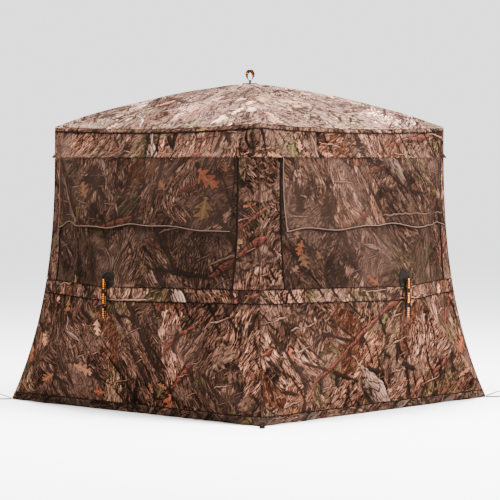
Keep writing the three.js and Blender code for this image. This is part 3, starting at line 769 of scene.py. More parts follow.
def studio():
    camera_data = bpy.data.cameras.new("camera")
    camera_data.lens = CAMERA_LENS
    camera_data.sensor_width = 36
    camera_data.clip_end = 100
    camera = link(camera_data, "camera")
    sideways, forwards = math.sin(CAMERA_AZIMUTH), -math.cos(CAMERA_AZIMUTH)
    camera.location = (CAMERA_DISTANCE * sideways, CAMERA_DISTANCE * forwards, CAMERA_HEIGHT)
    camera.rotation_euler = (math.pi / 2 - CAMERA_PITCH, 0, CAMERA_AZIMUTH)
    bpy.context.scene.camera = camera

    floor_mesh = bpy.data.meshes.new("studio_floor")
    floor_corners = [(x * FLOOR_HALF, y * FLOOR_HALF, 0) for x, y in ((-1, -1), (1, -1), (1, 1), (-1, 1))]
    floor_mesh.from_pydata(floor_corners, [], [(0, 1, 2, 3)])
    floor = link(floor_mesh, "studio_floor")
    floor.location.z = -0.001
    material, n, shader, _ = principled("pale_floor")
    place = n.object_place()
    n.put(shader.inputs["Base Color"], n.ramp(n.cloud(place, 3.0),
                                              [(0.3, (0.93, 0.93, 0.93)), (0.7, (0.95, 0.95, 0.95))]))
    shader.inputs["Roughness"].default_value = 0.9
    floor.data.materials.append(material)

    world = bpy.data.worlds.new("studio_world")
    world.use_nodes = True
    world.node_tree.nodes["Background"].inputs[0].default_value = (1, 1, 1, 1)
    world.node_tree.nodes["Background"].inputs[1].default_value = WORLD_STRENGTH
    bpy.context.scene.world = world

    def area(name, place, target, size, energy):
        light = bpy.data.lights.new(name, "AREA")
        light.shape = "RECTANGLE"
        light.size, light.size_y = size
        light.energy = energy
        obj = link(light, name)
        obj.location = place
        obj.rotation_euler = (Vector(target) - Vector(place)).to_track_quat("-Z", "Y").to_euler()

    area("overhead_softbox", (0.5, -0.5, 5.5), (0, 0, 1.2), (4.0, 4.0), 2300)
    area("left_softbox", (-1.5, -6.5, 3.0), (0, -0.3, 0.8), (3.5, 3.0), 60)
    area("right_softbox", (6.5, 1.5, 3.0), (0.3, 0, 0.8), (3.5, 3.0), 2000)


studio()


def follow_hub(obj):
    """Bakes a wall piece's transform into its mesh."""
    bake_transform(obj)


def outward(quarter):
    return turned_point(0, -math.cos(LEAN), math.sin(LEAN), quarter)


# ---- creases, shared by every piece on a wall
def wall_crease(a, z, quarter):
    """Outward shift of the cloth, in metres: slack, drag lines from the corners, and gathers at the hem."""
    seed = 40 + quarter * 17
    half = corner_half(z)
    across = np.clip(np.abs(a) / half, 0, 1)
    edge = 1 - across ** 10
    slack = 0.0030 * wave(a, z * 1.4, seed, 5.0, 3) + 0.0016 * wave(a, z, seed + 1, 17.0, 2)
    total = slack
    # drag lines fan out from each base corner
    for sign in (-1, 1):
        dx, dz = BASE_HALF - sign * a, z + 0.04
        reach = np.hypot(dx, dz)
        angle = np.arctan2(dz, np.maximum(dx, 1e-4))
        fan = np.sin(angle * 15 + 1.7 * sign + quarter + 1.3 * np.sin(reach * 9))
        total = total + 0.0115 * fan * np.exp(-((reach - 0.24) / 0.20) ** 2) * np.clip(reach / 0.08, 0, 1)
    # the cloth is drawn tight over the two lower poles and sags just below each
    pole = math.hypot(BASE_HALF, HUB_HEIGHT)
    run_x, run_z = BASE_HALF / pole, -HUB_HEIGHT / pole
    below = np.abs(a) * run_z - (z - HUB_HEIGHT) * run_x
    tight = np.clip((MID_BAND_BOTTOM - z) / 0.06, 0, 1) * np.clip((z - HEM_HEIGHT) / 0.05, 0, 1)
    drawn = 0.0065 * np.exp(-(below / 0.030) ** 2) - 0.0060 * np.exp(-((below - 0.062) / 0.034) ** 2)
    total = total + drawn * tight
    # drag lines fan out from the hub
    dx, dz = a, z - HUB_HEIGHT
    reach = np.hypot(dx, dz)
    fan = np.sin(np.arctan2(dz, dx) * 12 + quarter)
    total = total + 0.0022 * fan * np.exp(-((reach - 0.17) / 0.10) ** 2)
    # gathers above the ground hem
    gather = np.sin(a * 74 + 2.4 * np.sin(a * 11 + quarter) + z * 9)
    low = np.exp(-np.clip(z - 0.03, 0, None) / 0.055)
    total = total + 0.0042 * gather * low * (0.55 + 0.45 * wave(a, a * 0, seed + 5, 6.0, 1))
    # puckers along the sewn lines
    for level, size in ((WINDOW_BOTTOM, 0.0016), (MID_BAND_BOTTOM, 0.0018), (WINDOW_TOP, 0.0016)):
        pucker = np.sin(a * 150 + 3 * np.sin(a * 19 + level * 7))
        total = total + size * pucker * np.exp(-((z - level) / 0.022) ** 2)
    return np.clip(total, -0.009, 0.016) * edge


def flap_crease(a, z, quarter):
    """The window cover hangs loose: long slanting folds, deeper towards its free lower edge."""
    drop = np.clip((WINDOW_TOP - z) / (WINDOW_TOP - FLAP_BOTTOM), 0, 1)
    phase = a * 17 + drop * 4.2 * np.sign(a) + 1.9 * np.sin(a * 5 + quarter * 2)
    folds = 0.0065 * np.sin(phase) + 0.0034 * wave(a, z, 90 + quarter, 9.0, 3)
    slant = np.exp(-((a * 0.45 - (z - 1.06) * 1.2) / 0.05) ** 2)
    lift = 0.0030 + 0.0085 * drop
    curl = 0.007 * np.exp(-((1 - drop) / 0.05) ** 2) * (0.5 + 0.5 * np.sin(a * 13 + quarter))
    curl = curl + 0.008 * np.exp(-((FLAP_HALF - np.abs(a)) / 0.03) ** 2) * drop
    return lift + curl + (folds * 1.1 + 0.006 * slant) * drop ** 0.7


def crease_at(kind, a, z, quarter):
    base = wall_crease(a, z, quarter)
    if kind == "window":
        return base * 0.5
    if kind == "flap":
        return 0.006 + np.maximum(flap_crease(a, z, quarter), base * 0.5 - 0.002)
    return base


# ---- sheets cut to an outline on the wall
def within(loop, points):
    """Which points (n x 2) lie inside a closed loop."""
    p = np.array(loop)
    inside = np.zeros(len(points), bool)
    for (x0, z0), (x1, z1) in zip(p, np.roll(p, -1, axis=0)):
        if z0 != z1:
            crosses = (z0 > points[:, 1]) != (z1 > points[:, 1])
            inside ^= crosses & (points[:, 0] < (x1 - x0) * (points[:, 1] - z0) / (z1 - z0) + x0)
    return inside


def sheet_from_outline(name, outline, holes, step, place, uv_shift=(0.0, 0.0), folds=()):
    """A cloth mesh filling an outline in (along, height), with place() carrying it onto the surface."""
    def resample(loop):
        points = []
        for p, q in zip(loop, loop[1:] + loop[:1]):
            count = max(1, int(round(math.dist(p, q) / step)))
            dx, dz = q[0] - p[0], q[1] - p[1]
            points += [(p[0] + dx * i / count, p[1] + dz * i / count) for i in range(count)]
        return points

    loops = [resample(list(loop)) for loop in [outline] + list(holes)]
    boundary = np.array([p for loop in loops for p in loop])
    low, high = np.array(loops[0]).min(0), np.array(loops[0]).max(0)
    gx = np.arange(low[0] + step / 2, high[0], step)
    gz = np.arange(low[1] + step / 2, high[1], step)
    grid = np.stack(np.meshgrid(gx, gz), -1).reshape(-1, 2)
    keep = within(loops[0], grid)
    for loop in loops[1:]:
        keep &= ~within(loop, grid)
    grid = grid[keep]
    fold_points = np.array([p for fold in folds for p in fold]).reshape(-1, 2)
    lines = np.concatenate([boundary, fold_points])
    near = np.array([np.min(np.hypot(*(lines - g).T)) for g in grid])
    grid = grid[near > step * 0.45]
    points = [Vector(p) for p in np.concatenate([boundary, grid])]
    edges, offset = [], 0
    for loop in loops:
        count = len(loop)
        edges += [(offset + i, offset + (i + 1) % count) for i in range(count)]
        offset += count
    for fold in folds:
        start = len(points)
        points += [Vector(p) for p in fold]
        edges += [(start + i, start + i + 1) for i in range(len(fold) - 1)]
    verts, _, tris, _, _, _ = delaunay_2d_cdt(points, edges, [list(range(len(loops[0])))], 1, 1e-6)
    flat = np.array([tuple(v) for v in verts])
    triangles = np.array([tuple(t) for t in tris])
    centres = flat[triangles].mean(1)
    for loop in loops[1:]:
        triangles = triangles[~within(loop, centres)]
        centres = flat[triangles].mean(1)
    used, triangles = np.unique(triangles, return_inverse=True)
    flat, triangles = flat[used], triangles.reshape(-1, 3)
    solid = place(flat[:, 0], flat[:, 1])
    return smooth_mesh(name, solid, triangles.tolist(), flat + np.array(uv_shift))


# ---- wall pieces
CLOTH = 0.0012
HEM_CLOTH = 0.0010
CLOTH_LIFT = 0.002
NET_THICKNESS = 0.0006
WALL_STEP = 0.013
STRIP_STEP = 0.011
COVER_STEP = 0.012
BAND_LIFT = 0.0032
HUB_HOLE_RADIUS = 0.0105
side_uv = {side: (SIDES.index(side) * 2.63, SIDES.index(side) * 1.37) for side in SIDES}


def follow_wall(obj, side):
    """Bakes a piece on a wall into its mesh; the wall-local vertex places it works out are not used."""
    local = turn(vertices(obj), -SIDES.index(side) % 4)
    follow_hub(obj)


def placer(kind, quarter, lift=CLOTH_LIFT):
    def place(a, z):
        return wall_points(a, z, quarter, lift + crease_at(kind, a, z, quarter))
    return place


def wall_sheet(name, kind, side, outline, holes, outer, node, flat, inner=None, lift=CLOTH_LIFT,
               thickness=CLOTH, area=None, slot="camo_cloth"):
    quarter = SIDES.index(side)
    obj = sheet_from_outline(name, outline, holes, WALL_STEP, placer(kind, quarter, lift), side_uv[side])
    face_along(obj, outward(quarter))
    thicken(obj, thickness, outer, inner or LINING)
    follow_wall(obj, side)
    if node:
        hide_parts(node)


def flared_side(low, high, sign, count=14):
    """The side of a wall panel, following the flared corner upwards."""
    heights = np.linspace(low, high, count)
    return [(float(sign * h), float(z)) for h, z in zip(corner_half(heights) + 0.001, heights)]


def flared_panel(low, high, count=14):
    return flared_side(low, high, 1, count) + flared_side(low, high, -1, count)[::-1]


def circle_hole(centre, radius, count=28):
    angles = [2 * math.pi * i / count for i in range(count)]
    return [(centre[0] + radius * math.cos(t), centre[1] + radius * math.sin(t)) for t in angles]


def offset_outline(outline, by):
    """Moves every edge of a closed outline outwards by 'by'."""
    points = [np.array(p, float) for p in outline]
    area = sum(p[0] * q[1] - q[0] * p[1] for p, q in zip(points, points[1:] + points[:1]))
    sign = 1 if area > 0 else -1
    result = []
    for i, p in enumerate(points):
        normals = []
        for a, b in ((points[i - 1], p), (p, points[(i + 1) % len(points)])):
            e = (b - a) / np.linalg.norm(b - a)
            normals.append(sign * np.array([e[1], -e[0]]))
        half = normals[0] + normals[1]
        half /= np.linalg.norm(half)
        result.append(tuple(float(c) for c in p + half * by / half.dot(normals[0])))
    return result


def crossing(p, q, level, axis):
    """The point of segment p to q where coordinate 'axis' has the value 'level'."""
    t = (level - p[axis]) / (q[axis] - p[axis])
    return (p[0] + (q[0] - p[0]) * t, p[1] + (q[1] - p[1]) * t)


opening = offset_outline(DOOR_OUTLINE, 0.001)
hub_hole = circle_hole((0, HUB_HEIGHT), HUB_HOLE_RADIUS)
PANEL_LOW = HEM_HEIGHT - 0.002

for side in SIDES:
    if side == "back":
        notch = [(opening[0][0], MID_BAND_BOTTOM), opening[0], opening[1], (opening[1][0], MID_BAND_BOTTOM)]
        lower = flared_side(PANEL_LOW, MID_BAND_BOTTOM, 1) + notch
        lower += flared_side(PANEL_LOW, MID_BAND_BOTTOM, -1)[::-1]
        bands = [
            ("middle_band_back", flared_side(MID_BAND_BOTTOM, WINDOW_BOTTOM, -1, 4)[::-1]
             + [(opening[1][0], MID_BAND_BOTTOM), (opening[1][0], WINDOW_BOTTOM)], (1.02, 0.07)),
            ("middle_band_hinge_side", flared_side(MID_BAND_BOTTOM, WINDOW_BOTTOM, 1, 4)
             + [(opening[0][0], WINDOW_BOTTOM), (opening[0][0], MID_BAND_BOTTOM)], (0.075, 0.07)),
        ]
        slant = crossing(opening[2], opening[3], STRIP_EDGE, 0)
        upper = [(-STRIP_EDGE, WINDOW_BOTTOM), (opening[1][0], WINDOW_BOTTOM), opening[2], slant,
                 (STRIP_EDGE, WINDOW_TOP), (-STRIP_EDGE, WINDOW_TOP)]
        upper_look = dict(outer=FLAP_CAMO, node="upper_wall_back", flat=(1.29, 0.69), area=0.72)
        upper_name, upper_kind = "upper_panel_back", "wall"
    else:
        lower = flared_panel(PANEL_LOW, MID_BAND_BOTTOM)
        bands = [(f"middle_band_{side}", flared_panel(MID_BAND_BOTTOM, WINDOW_BOTTOM, 4), (1.60, 0.07))]
        upper = [(-STRIP_EDGE, WINDOW_BOTTOM), (STRIP_EDGE, WINDOW_BOTTOM), (STRIP_EDGE, WINDOW_TOP),
                 (-STRIP_EDGE, WINDOW_TOP)]
        upper_look = dict(outer=MESH_CAMO, inner=MESH_CAMO, node=f"window_mesh_{side}", flat=(1.30, 0.69),
                          thickness=NET_THICKNESS, slot="camo_mesh")
        upper_name, upper_kind = f"window_net_{side}", "window"
    wall_sheet(f"lower_panel_{side}", "wall", side, lower, [], outer=WALL_CAMO, node=f"lower_wall_{side}",
               flat=(1.84, 0.56), area=0.94 if side == "back" else None)
    for band_name, outline, flat in bands:
        wall_sheet(band_name, "wall", side, outline, [], outer=MID_CAMO, node=None, flat=flat, lift=BAND_LIFT)
    wall_sheet(upper_name, upper_kind, side, upper, [hub_hole], **upper_look)


# ---- corner strips, folded round each corner
def strip_place(quarter):
    def place(s, z):
        half = corner_half(z)
        first = s <= half
        a = np.where(first, s, s - 2 * half)
        here = placer("wall", quarter)(a, z)
        there = placer("wall", (quarter + 1) % 4)(a, z)
        return np.where(first[:, None], here, there)
    return place


for quarter, corner in enumerate(CORNERS):
    heights = np.linspace(WINDOW_BOTTOM, WINDOW_TOP, 40)
    far = [(float(2 * corner_half(z) - STRIP_EDGE), float(z)) for z in heights]
    near = [(STRIP_EDGE, WINDOW_TOP), (STRIP_EDGE, WINDOW_BOTTOM)]
    if corner == "back_left":
        slant = crossing(opening[2], opening[3], STRIP_EDGE, 0)
        near = [(STRIP_EDGE, WINDOW_TOP), slant, opening[3], opening[4], (opening[4][0], WINDOW_BOTTOM)]
    fold = [(float(corner_half(z)), float(z)) for z in heights[1:-1]]
    strip = sheet_from_outline(f"corner_panel_{corner}", far + near, [], STRIP_STEP, strip_place(quarter),
                               (7.1 + quarter * 1.9, 0.7 * quarter), [fold])
    face_along(strip, turned_point(1, -1, 0, quarter))
    thicken(strip, CLOTH, STRIP_CAMO, LINING)
    carry(strip, "shell", f"corner_strip_{corner}")


# ---- eave band and ground hem, each one ring
# places along one wall from -1 to 1, close together at the corners
RING_COLUMNS = np.concatenate([[-1, -0.9965], np.linspace(-0.985, 0.985, 132), [0.9965]])


def ring_object(name, heights, lift, uv_shift, outer, inner, thickness):
    lifts = np.broadcast_to(np.asarray(lift, float), (len(heights),))
    points, uv = [], []
    for z, lift in zip(heights, lifts):
        half = float(corner_half(z))
        a = RING_COLUMNS * half
        level = np.full_like(a, z)
        points.append(np.concatenate([placer("wall", quarter, lift)(a, level) for quarter in range(4)]))
        uv.append(np.concatenate([np.stack([a + quarter * 2 * half, level], -1) for quarter in range(4)]))
    points, uv = np.array(points), np.array(uv)
    # the two walls' lifts differ in direction, so each corner column is moved out on the diagonal
    for k in range(4):
        outwards = turned_point(-1, -1, 0, k) - turned_point(0, -1, 0, k)
        points[:, k * len(RING_COLUMNS)] += outwards * lifts[:, None]
    # one more column closes the ring, so the pattern's coordinates don't jump back on the last face
    points = np.concatenate([points, points[:, :1]], 1)
    uv = np.concatenate([uv, uv[:, :1] + np.array([8 * BASE_HALF, 0])], 1)
    obj = grid_object(name, points, uv + np.array(uv_shift))
    with mesh_edit(obj) as bm:
        bmesh.ops.remove_doubles(bm, verts=bm.verts, dist=1e-6)
    face_along(obj)
    return thicken(obj, thickness, outer, inner)


# the band's free lower edge stands off a little over the window covers
band_heights = np.concatenate([WINDOW_TOP + np.array([-0.0085, -0.006, -0.003, 0.001, 0.006, 0.012, 0.020]),
                               np.linspace(WINDOW_TOP + 0.032, EAVE_HEIGHT - 0.001, 12)])
band_lifts = np.interp(band_heights, [WINDOW_TOP - 0.003, WINDOW_TOP + 0.020], [0.0135, 0.002])
band = ring_object("eave_band_cloth", band_heights, band_lifts, (1.1, 4.4), BAND_CAMO, LINING, CLOTH)
carry(band, "shell", "eave_band")

# the hem is one strip folded double: down the outside, round the bottom edge and up again inside
hem_heights = np.concatenate([np.linspace(HEM_HEIGHT, 0.004, 6), [0.0018, 0.0008, 0.0018],
                              np.linspace(0.004, HEM_HEIGHT - 0.004, 6)])
hem_lifts = np.concatenate([np.full(6, 0.0045), [0.0043, 0.0032, 0.0021], np.full(6, 0.0019)])
hem = ring_object("ground_hem", hem_heights, hem_lifts, (5.5, 2.2), HEM_CAMO, LINING, HEM_CLOTH)
carry(hem, "shell", "base_hem")


# ---- roof canopy, one curved sheet
def roof_crease(x, y):
    """Drag lines from the eave corners and the hub, and a little slack in each facet."""
    far = np.maximum(np.abs(x), np.abs(y))
    t = np.clip(far / EAVE_HALF, 0, 1)
    total = 0.0026 * wave(x, y, 11, 4.5, 3) + 0.0012 * wave(x, y, 12, 18.0, 2)
    for sx in (-1, 1):
        for sy in (-1, 1):
            dx, dy = EAVE_HALF - sx * x, EAVE_HALF - sy * y
            reach = np.hypot(dx, dy)
            fan = np.sin(np.arctan2(dy, np.maximum(dx, 1e-4)) * 14 + sx + 2 * sy)
            total = total + 0.0034 * fan * np.exp(-((reach - 0.17) / 0.13) ** 2) * np.clip(reach / 0.07, 0, 1)
    reach = np.hypot(x, y)
    total = total + 0.0020 * np.sin(np.arctan2(y, x) * 16) * np.exp(-((reach - 0.14) / 0.07) ** 2)
    eave = np.exp(-((1 - t) * EAVE_HALF / 0.03) ** 2)
    run = np.where(np.abs(x) > np.abs(y), y, x)
    total = total + 0.0012 * np.sin(run * 140 + 3 * np.sin(run * 17)) * eave
    return np.clip(total, -0.004, 0.007) * (1 - t ** 14)


ROOF_HOLE_RADIUS = 0.0115
lines = np.linspace(-1, 1, 125) * (EAVE_HALF + 0.0025)
gx, gy = np.meshgrid(lines, lines)
roof_points = np.stack([gx, gy, roof_height(gx, gy) + CLOTH_LIFT + roof_crease(gx, gy)], -1)
roof = grid_object("roof_cloth_sheet", roof_points, np.stack([gx + 3.3, gy + 1.2], -1))
with mesh_edit(roof) as bm:
    centre_faces = [f for f in bm.faces if f.calc_center_median().xy.length < ROOF_HOLE_RADIUS]
    bmesh.ops.delete(bm, geom=centre_faces, context="FACES")
face_along(roof, (0, 0, 1))
thicken(roof, CLOTH, ROOF_CAMO, LINING)

# each roof vertex's distance from the middle, the larger of its x and y, in metres; nothing uses it
from_middle = np.abs(vertices(roof)[:, :2]).max(1)
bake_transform(roof)
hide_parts("roof_canopy")


# ---- window covers, hanging outside the windows
COVER_TOP = WINDOW_TOP - 0.003
PIPING_RADIUS = 0.0017
WINDOW_SIDES = ["front", "right", "left"]


def flap_hem(a, quarter):
    """Height of a cover's lower edge: it hangs in shallow waves and drops at its corners."""
    dip = -0.020 * np.exp(-((np.abs(a) - FLAP_HALF) / 0.09) ** 2)
    waves = 0.010 * np.sin(a * 9.5 + quarter * 2.2) + 0.005 * np.sin(a * 23 + quarter)
    return FLAP_BOTTOM + 0.012 + dip + waves


def follow_cover(obj, side):
    """Bakes a cover piece into its mesh; the wall point at the cover's top that it works out is not used."""
    high = Vector(wall_points(np.array(0.0), np.array(COVER_TOP), SIDES.index(side)))
    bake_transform(obj)


for side in WINDOW_SIDES:
    quarter = SIDES.index(side)
    hem_line = [(float(a), float(flap_hem(a, quarter))) for a in np.linspace(-FLAP_HALF, FLAP_HALF, 90)]
    outline = hem_line + [(FLAP_HALF, COVER_TOP), (-FLAP_HALF, COVER_TOP)]
    place = placer("flap", quarter)
    cover = sheet_from_outline(f"window_cover_{side}", outline, [], COVER_STEP, place, side_uv[side])
    face_along(cover, outward(quarter))
    thicken(cover, CLOTH, FLAP_CAMO, LINING)
    follow_cover(cover, side)
    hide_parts(f"window_flap_{side}")
    edge = np.array(hem_line)
    piping = cord_object(f"cover_piping_{side}", place(edge[:, 0], edge[:, 1]), PIPING_RADIUS)
    piping.data.materials.append(PIPING)
    carry(piping, f"window_flap_{side}")


# ---- seams, welts, painted shadow lines and stitching
def joined_mesh(name, parts, material):
    """One mesh from several (vertices, faces, uv or None) parts."""
    verts, faces, uvs, offset = [], [], [], 0
    for part_verts, part_faces, part_uv in parts:
        verts.append(np.asarray(part_verts, float))
        faces += [[i + offset for i in face] for face in part_faces]
        uvs.append(np.zeros((len(part_verts), 2)) if part_uv is None else np.asarray(part_uv, float))
        offset += len(part_verts)
    obj = smooth_mesh(name, np.concatenate(verts), faces, np.concatenate(uvs))
    obj.data.materials.append(material)
    return obj


def run_along(path):
    """Distance from the start of a path to each of its points."""
    return np.concatenate([[0], np.cumsum(np.linalg.norm(np.diff(path, axis=0), axis=1))])


def tube_part(path, radius, sides=8):
    """A capped tube along path (n x 3)."""
    path = np.asarray(path, float)
    tangent = np.gradient(path, axis=0)
    tangent /= np.maximum(np.linalg.norm(tangent, axis=1, keepdims=True), 1e-9)
    up = np.array([0.0, 0.0, 1.0]) if abs(tangent[:, 2]).mean() < 0.8 else np.array([0.7071, 0.7071, 0.0])
    first = np.cross(tangent, up)
    first /= np.linalg.norm(first, axis=1, keepdims=True)
    second = np.cross(tangent, first)
    turn_by = np.linspace(0, 2 * math.pi, sides, endpoint=False)
    ring = first[:, None] * np.cos(turn_by)[None, :, None] + second[:, None] * np.sin(turn_by)[None, :, None]
    radius = np.broadcast_to(np.asarray(radius, float), (len(path),))
    verts = (path[:, None] + ring * radius[:, None, None]).reshape(-1, 3)
    uv = np.stack(np.broadcast_arrays(run_along(path)[:, None], (turn_by * radius.mean())[None]), -1)
    return verts, tube_faces(len(path), sides), uv.reshape(-1, 2)


def stitch_part(path, normal, dash=0.0050, gap=0.0028, radius=0.0006):
    """Stitches along path, each a small four-sided bead standing proud along 'normal'."""
    path = np.asarray(path, float)
    run = run_along(path)
    count = max(1, int(run[-1] / (dash + gap)))
    starts = np.arange(count) * (dash + gap)
    a, b = [np.stack([np.interp(at, run, path[:, k]) for k in range(3)], -1)
            for at in (starts, starts + dash)]
    normal = np.asarray(normal, float)
    across = np.cross(b - a, normal)
    across /= np.maximum(np.linalg.norm(across, axis=1, keepdims=True), 1e-9)
    middle = (a + b) / 2
    beads = np.stack([a, middle - across * radius, b, middle + across * radius,
                      middle + normal * radius * 1.6], 1)
    beads += normal * 0.0002
    faces = [[i * 5 + j, i * 5 + (j + 1) % 4, i * 5 + 4] for i in range(count) for j in range(4)]
    faces += [[i * 5 + 3, i * 5 + 2, i * 5 + 1, i * 5] for i in range(count)]
    return beads.reshape(-1, 3), faces, None


SEAM_LIFT = 0.0036
COVER_SEAM_LIFT = 0.0026
SEWN_LEVELS = [HEM_HEIGHT + 0.006, MID_BAND_BOTTOM - 0.007, MID_BAND_BOTTOM + 0.006, WINDOW_BOTTOM - 0.006,
               WINDOW_TOP + 0.010, EAVE_HEIGHT - 0.010]
STRIP_BINDING_AND_SHADOW_RADIUS = 0.0044
WELT_RADIUS = 0.0018
EAVE_WELT_AND_SHADOW_RADIUS = 0.0022


def upright(place, a, z):
    """Points of an upright line at 'a' along the wall."""
    return place(np.full_like(z, a), z)


def level_runs(side, z, half):
    """Places along a level line on a wall, broken at the door."""
    ends = [(-half, half)]
    if side == "back" and opening[0][1] < z < opening[4][1]:
        ends = [(-half, opening[1][0]), (opening[0][0], half)]
    return [np.linspace(low, high, int((high - low) / 0.012) + 2) for low, high in ends]


for quarter, side in enumerate(SIDES):
    place = placer("wall", quarter, SEAM_LIFT)
    face = outward(quarter)
    stitches, cords_and_shadow_lines = [], []
    for z in SEWN_LEVELS:
        half = float(corner_half(z)) - 0.004
        for a in level_runs(side, z, half):
            stitches.append(stitch_part(place(a, np.full_like(a, z)), face))
    for z, radius in ((HEM_HEIGHT + 0.002, 0.0022), (MID_BAND_BOTTOM, 0.0022), (WINDOW_BOTTOM, 0.0013)):
        half = float(corner_half(z)) - 0.001
        for a in level_runs(side, z, half):
            cords_and_shadow_lines.append(tube_part(place(a, np.full_like(a, z)), radius, 6))
    # a thick dark cord down each corner strip's edge: binding, and also painted shadow where the strip stands
    # over the recessed net
    for a_line in (-STRIP_EDGE, STRIP_EDGE):
        if side == "back" and a_line > 0:
            continue
        z = np.linspace(WINDOW_BOTTOM, WINDOW_TOP, 60)
        cords_and_shadow_lines.append(tube_part(upright(place, a_line, z), STRIP_BINDING_AND_SHADOW_RADIUS))
        z = np.linspace(WINDOW_BOTTOM + 0.01, WINDOW_TOP - 0.01, 60)
        stitches.append(stitch_part(upright(place, a_line * 1.02, z), face))
    follow_wall(joined_mesh(f"wall_stitching_{side}", stitches, THREAD), side)
    follow_wall(joined_mesh(f"wall_seam_cords_and_painted_shadow_{side}", cords_and_shadow_lines, SEAM_TAPE_AND_SHADOW), side)

for quarter, corner in enumerate(CORNERS):
    z = np.linspace(0.012, EAVE_HEIGHT - 0.004, 110)
    half = corner_half(z) + 0.0022
    welt = turn(np.stack([half, -half, z], -1), quarter)
    carry(joined_mesh(f"corner_welt_{corner}", [tube_part(welt, WELT_RADIUS)], WELT), "shell")


def ring_path(z, lift):
    path = []
    for quarter in range(4):
        half = float(corner_half(z))
        a = np.linspace(-half, half, 120)[:-1]
        path.append(placer("wall", quarter, lift)(a, np.full_like(a, z)))
    path = np.concatenate(path)
    return np.concatenate([path, path[:1]])


# a near-black welt just below the roof's turned edge: the seam's welt, and painted shadow for the dark line
# under that fold
eave_seam = ring_path(EAVE_HEIGHT - 0.0235, 0.0045)
eave_welt_and_shadow = joined_mesh("eave_seam_welt_and_painted_shadow", [tube_part(eave_seam, EAVE_WELT_AND_SHADOW_RADIUS)], SEAM_TAPE_AND_SHADOW)
carry(eave_welt_and_shadow, "shell")


def roof_turned_edge():
    """The roof's edge, folded down over the seam with the band."""
    points, uv = [], []
    for below, lift in ((0.0015, 0.0034), (0.006, 0.0060), (0.016, 0.0066), (0.0205, 0.0052)):
        z = EAVE_HEIGHT - below
        path = ring_path(z, lift)
        points.append(path)
        uv.append(np.stack([run_along(path), np.full(len(path), z)], -1))
    obj = grid_object("roof_turned_edge", np.array(points), np.array(uv) + np.array((3.1, 2.42)))
    face_along(obj)
    carry(thicken(obj, CLOTH, BAND_CAMO, LINING), "shell")


roof_turned_edge()


# ---- window cover edges and seams: tan piping down one side, black strips as painted shadow down the other side and under the hem
COVER_SEAM = 0.12
for side in WINDOW_SIDES:
    quarter = SIDES.index(side)
    place = placer("flap", quarter, COVER_SEAM_LIFT)
    face = outward(quarter)
    shadow_strips, stitches, edging = [], [], []
    # tan piping down one side of each cover; down the other, a black strip is painted shadow for the gap
    # where the cover stands off beside the corner strip
    for sign, parts, radius in ((-1, edging, 0.0018), (1, shadow_strips, 0.0026)):
        low = float(flap_hem(np.array(sign * FLAP_HALF), quarter))
        z = np.linspace(low, WINDOW_TOP - 0.004, 60)
        parts.append(tube_part(upright(place, sign * (FLAP_HALF - 0.001), z), radius))
        stitches.append(stitch_part(upright(place, sign * (FLAP_HALF - 0.010), z), face))
    a = np.linspace(-FLAP_HALF + 0.002, FLAP_HALF - 0.002, 120)
    # a black cord tucked under the hem: painted shadow beneath the cover's lower edge
    shadow_strips.append(tube_part(placer("flap", quarter, -0.0015)(a, flap_hem(a, quarter) - 0.0042), 0.0030, 8))
    stitches.append(stitch_part(place(a, flap_hem(a, quarter) + 0.010), face))
    z = np.linspace(float(flap_hem(np.array(COVER_SEAM), quarter)) + 0.004, WINDOW_TOP - 0.006, 50)
    for a_line in (COVER_SEAM, COVER_SEAM + 0.007):
        stitches.append(stitch_part(upright(place, a_line, z), face))
    for name, parts, material in (("painted_shadow_strip", shadow_strips, BLACK_TAPE_AND_SHADOW), ("side_edging", edging, PIPING),
                                  ("stitching", stitches, THREAD)):
        follow_cover(joined_mesh(f"cover_{name}_{side}", parts, material), side)


# ---- pull straps and stake loops
CLOTH_ABOVE_MIDPLANE = 0.015
CAP_BAR_HEIGHT = 0.040
WEBBING = 0.025
WEBBING_THICKNESS = 0.0021
WALL_NORMAL = outward(0)
HUB = np.array([0, -HUB_REACH, HUB_HEIGHT])
BAR_RADIUS = 0.0056
ROOF_LOOP_RADIUS, ROOF_LOOP_LENGTH = 0.0226, 0.036
STRAP_END_RADIUS, STRAP_ENDS, STRAP_WANDER = 0.0076, 0.016, 0.0012
STRAP_TWIST = {"front": 0.18, "right": 0.62, "back": -0.25, "left": 0.30, "roof": 1.05}


def loop_outline(first_radius, second_radius, length, steps=26):
    """The middle line of a webbing loop round two circles, as (run, across)."""
    tangent = math.acos((first_radius - second_radius) / length)
    far = [(length + second_radius * math.cos(t), second_radius * math.sin(t))
           for t in np.linspace(-tangent, tangent, steps)]
    near = [(first_radius * math.cos(t), first_radius * math.sin(t))
            for t in np.linspace(tangent, 2 * math.pi - tangent, steps)]
    legs = [[(p[0] + (q[0] - p[0]) * i / 24, p[1] + (q[1] - p[1]) * i / 24) for i in range(1, 25)]
            for p, q in ((far[-1], near[0]), (near[-1], far[0]))]
    return np.array(far + legs[0][:-1] + near + legs[1])


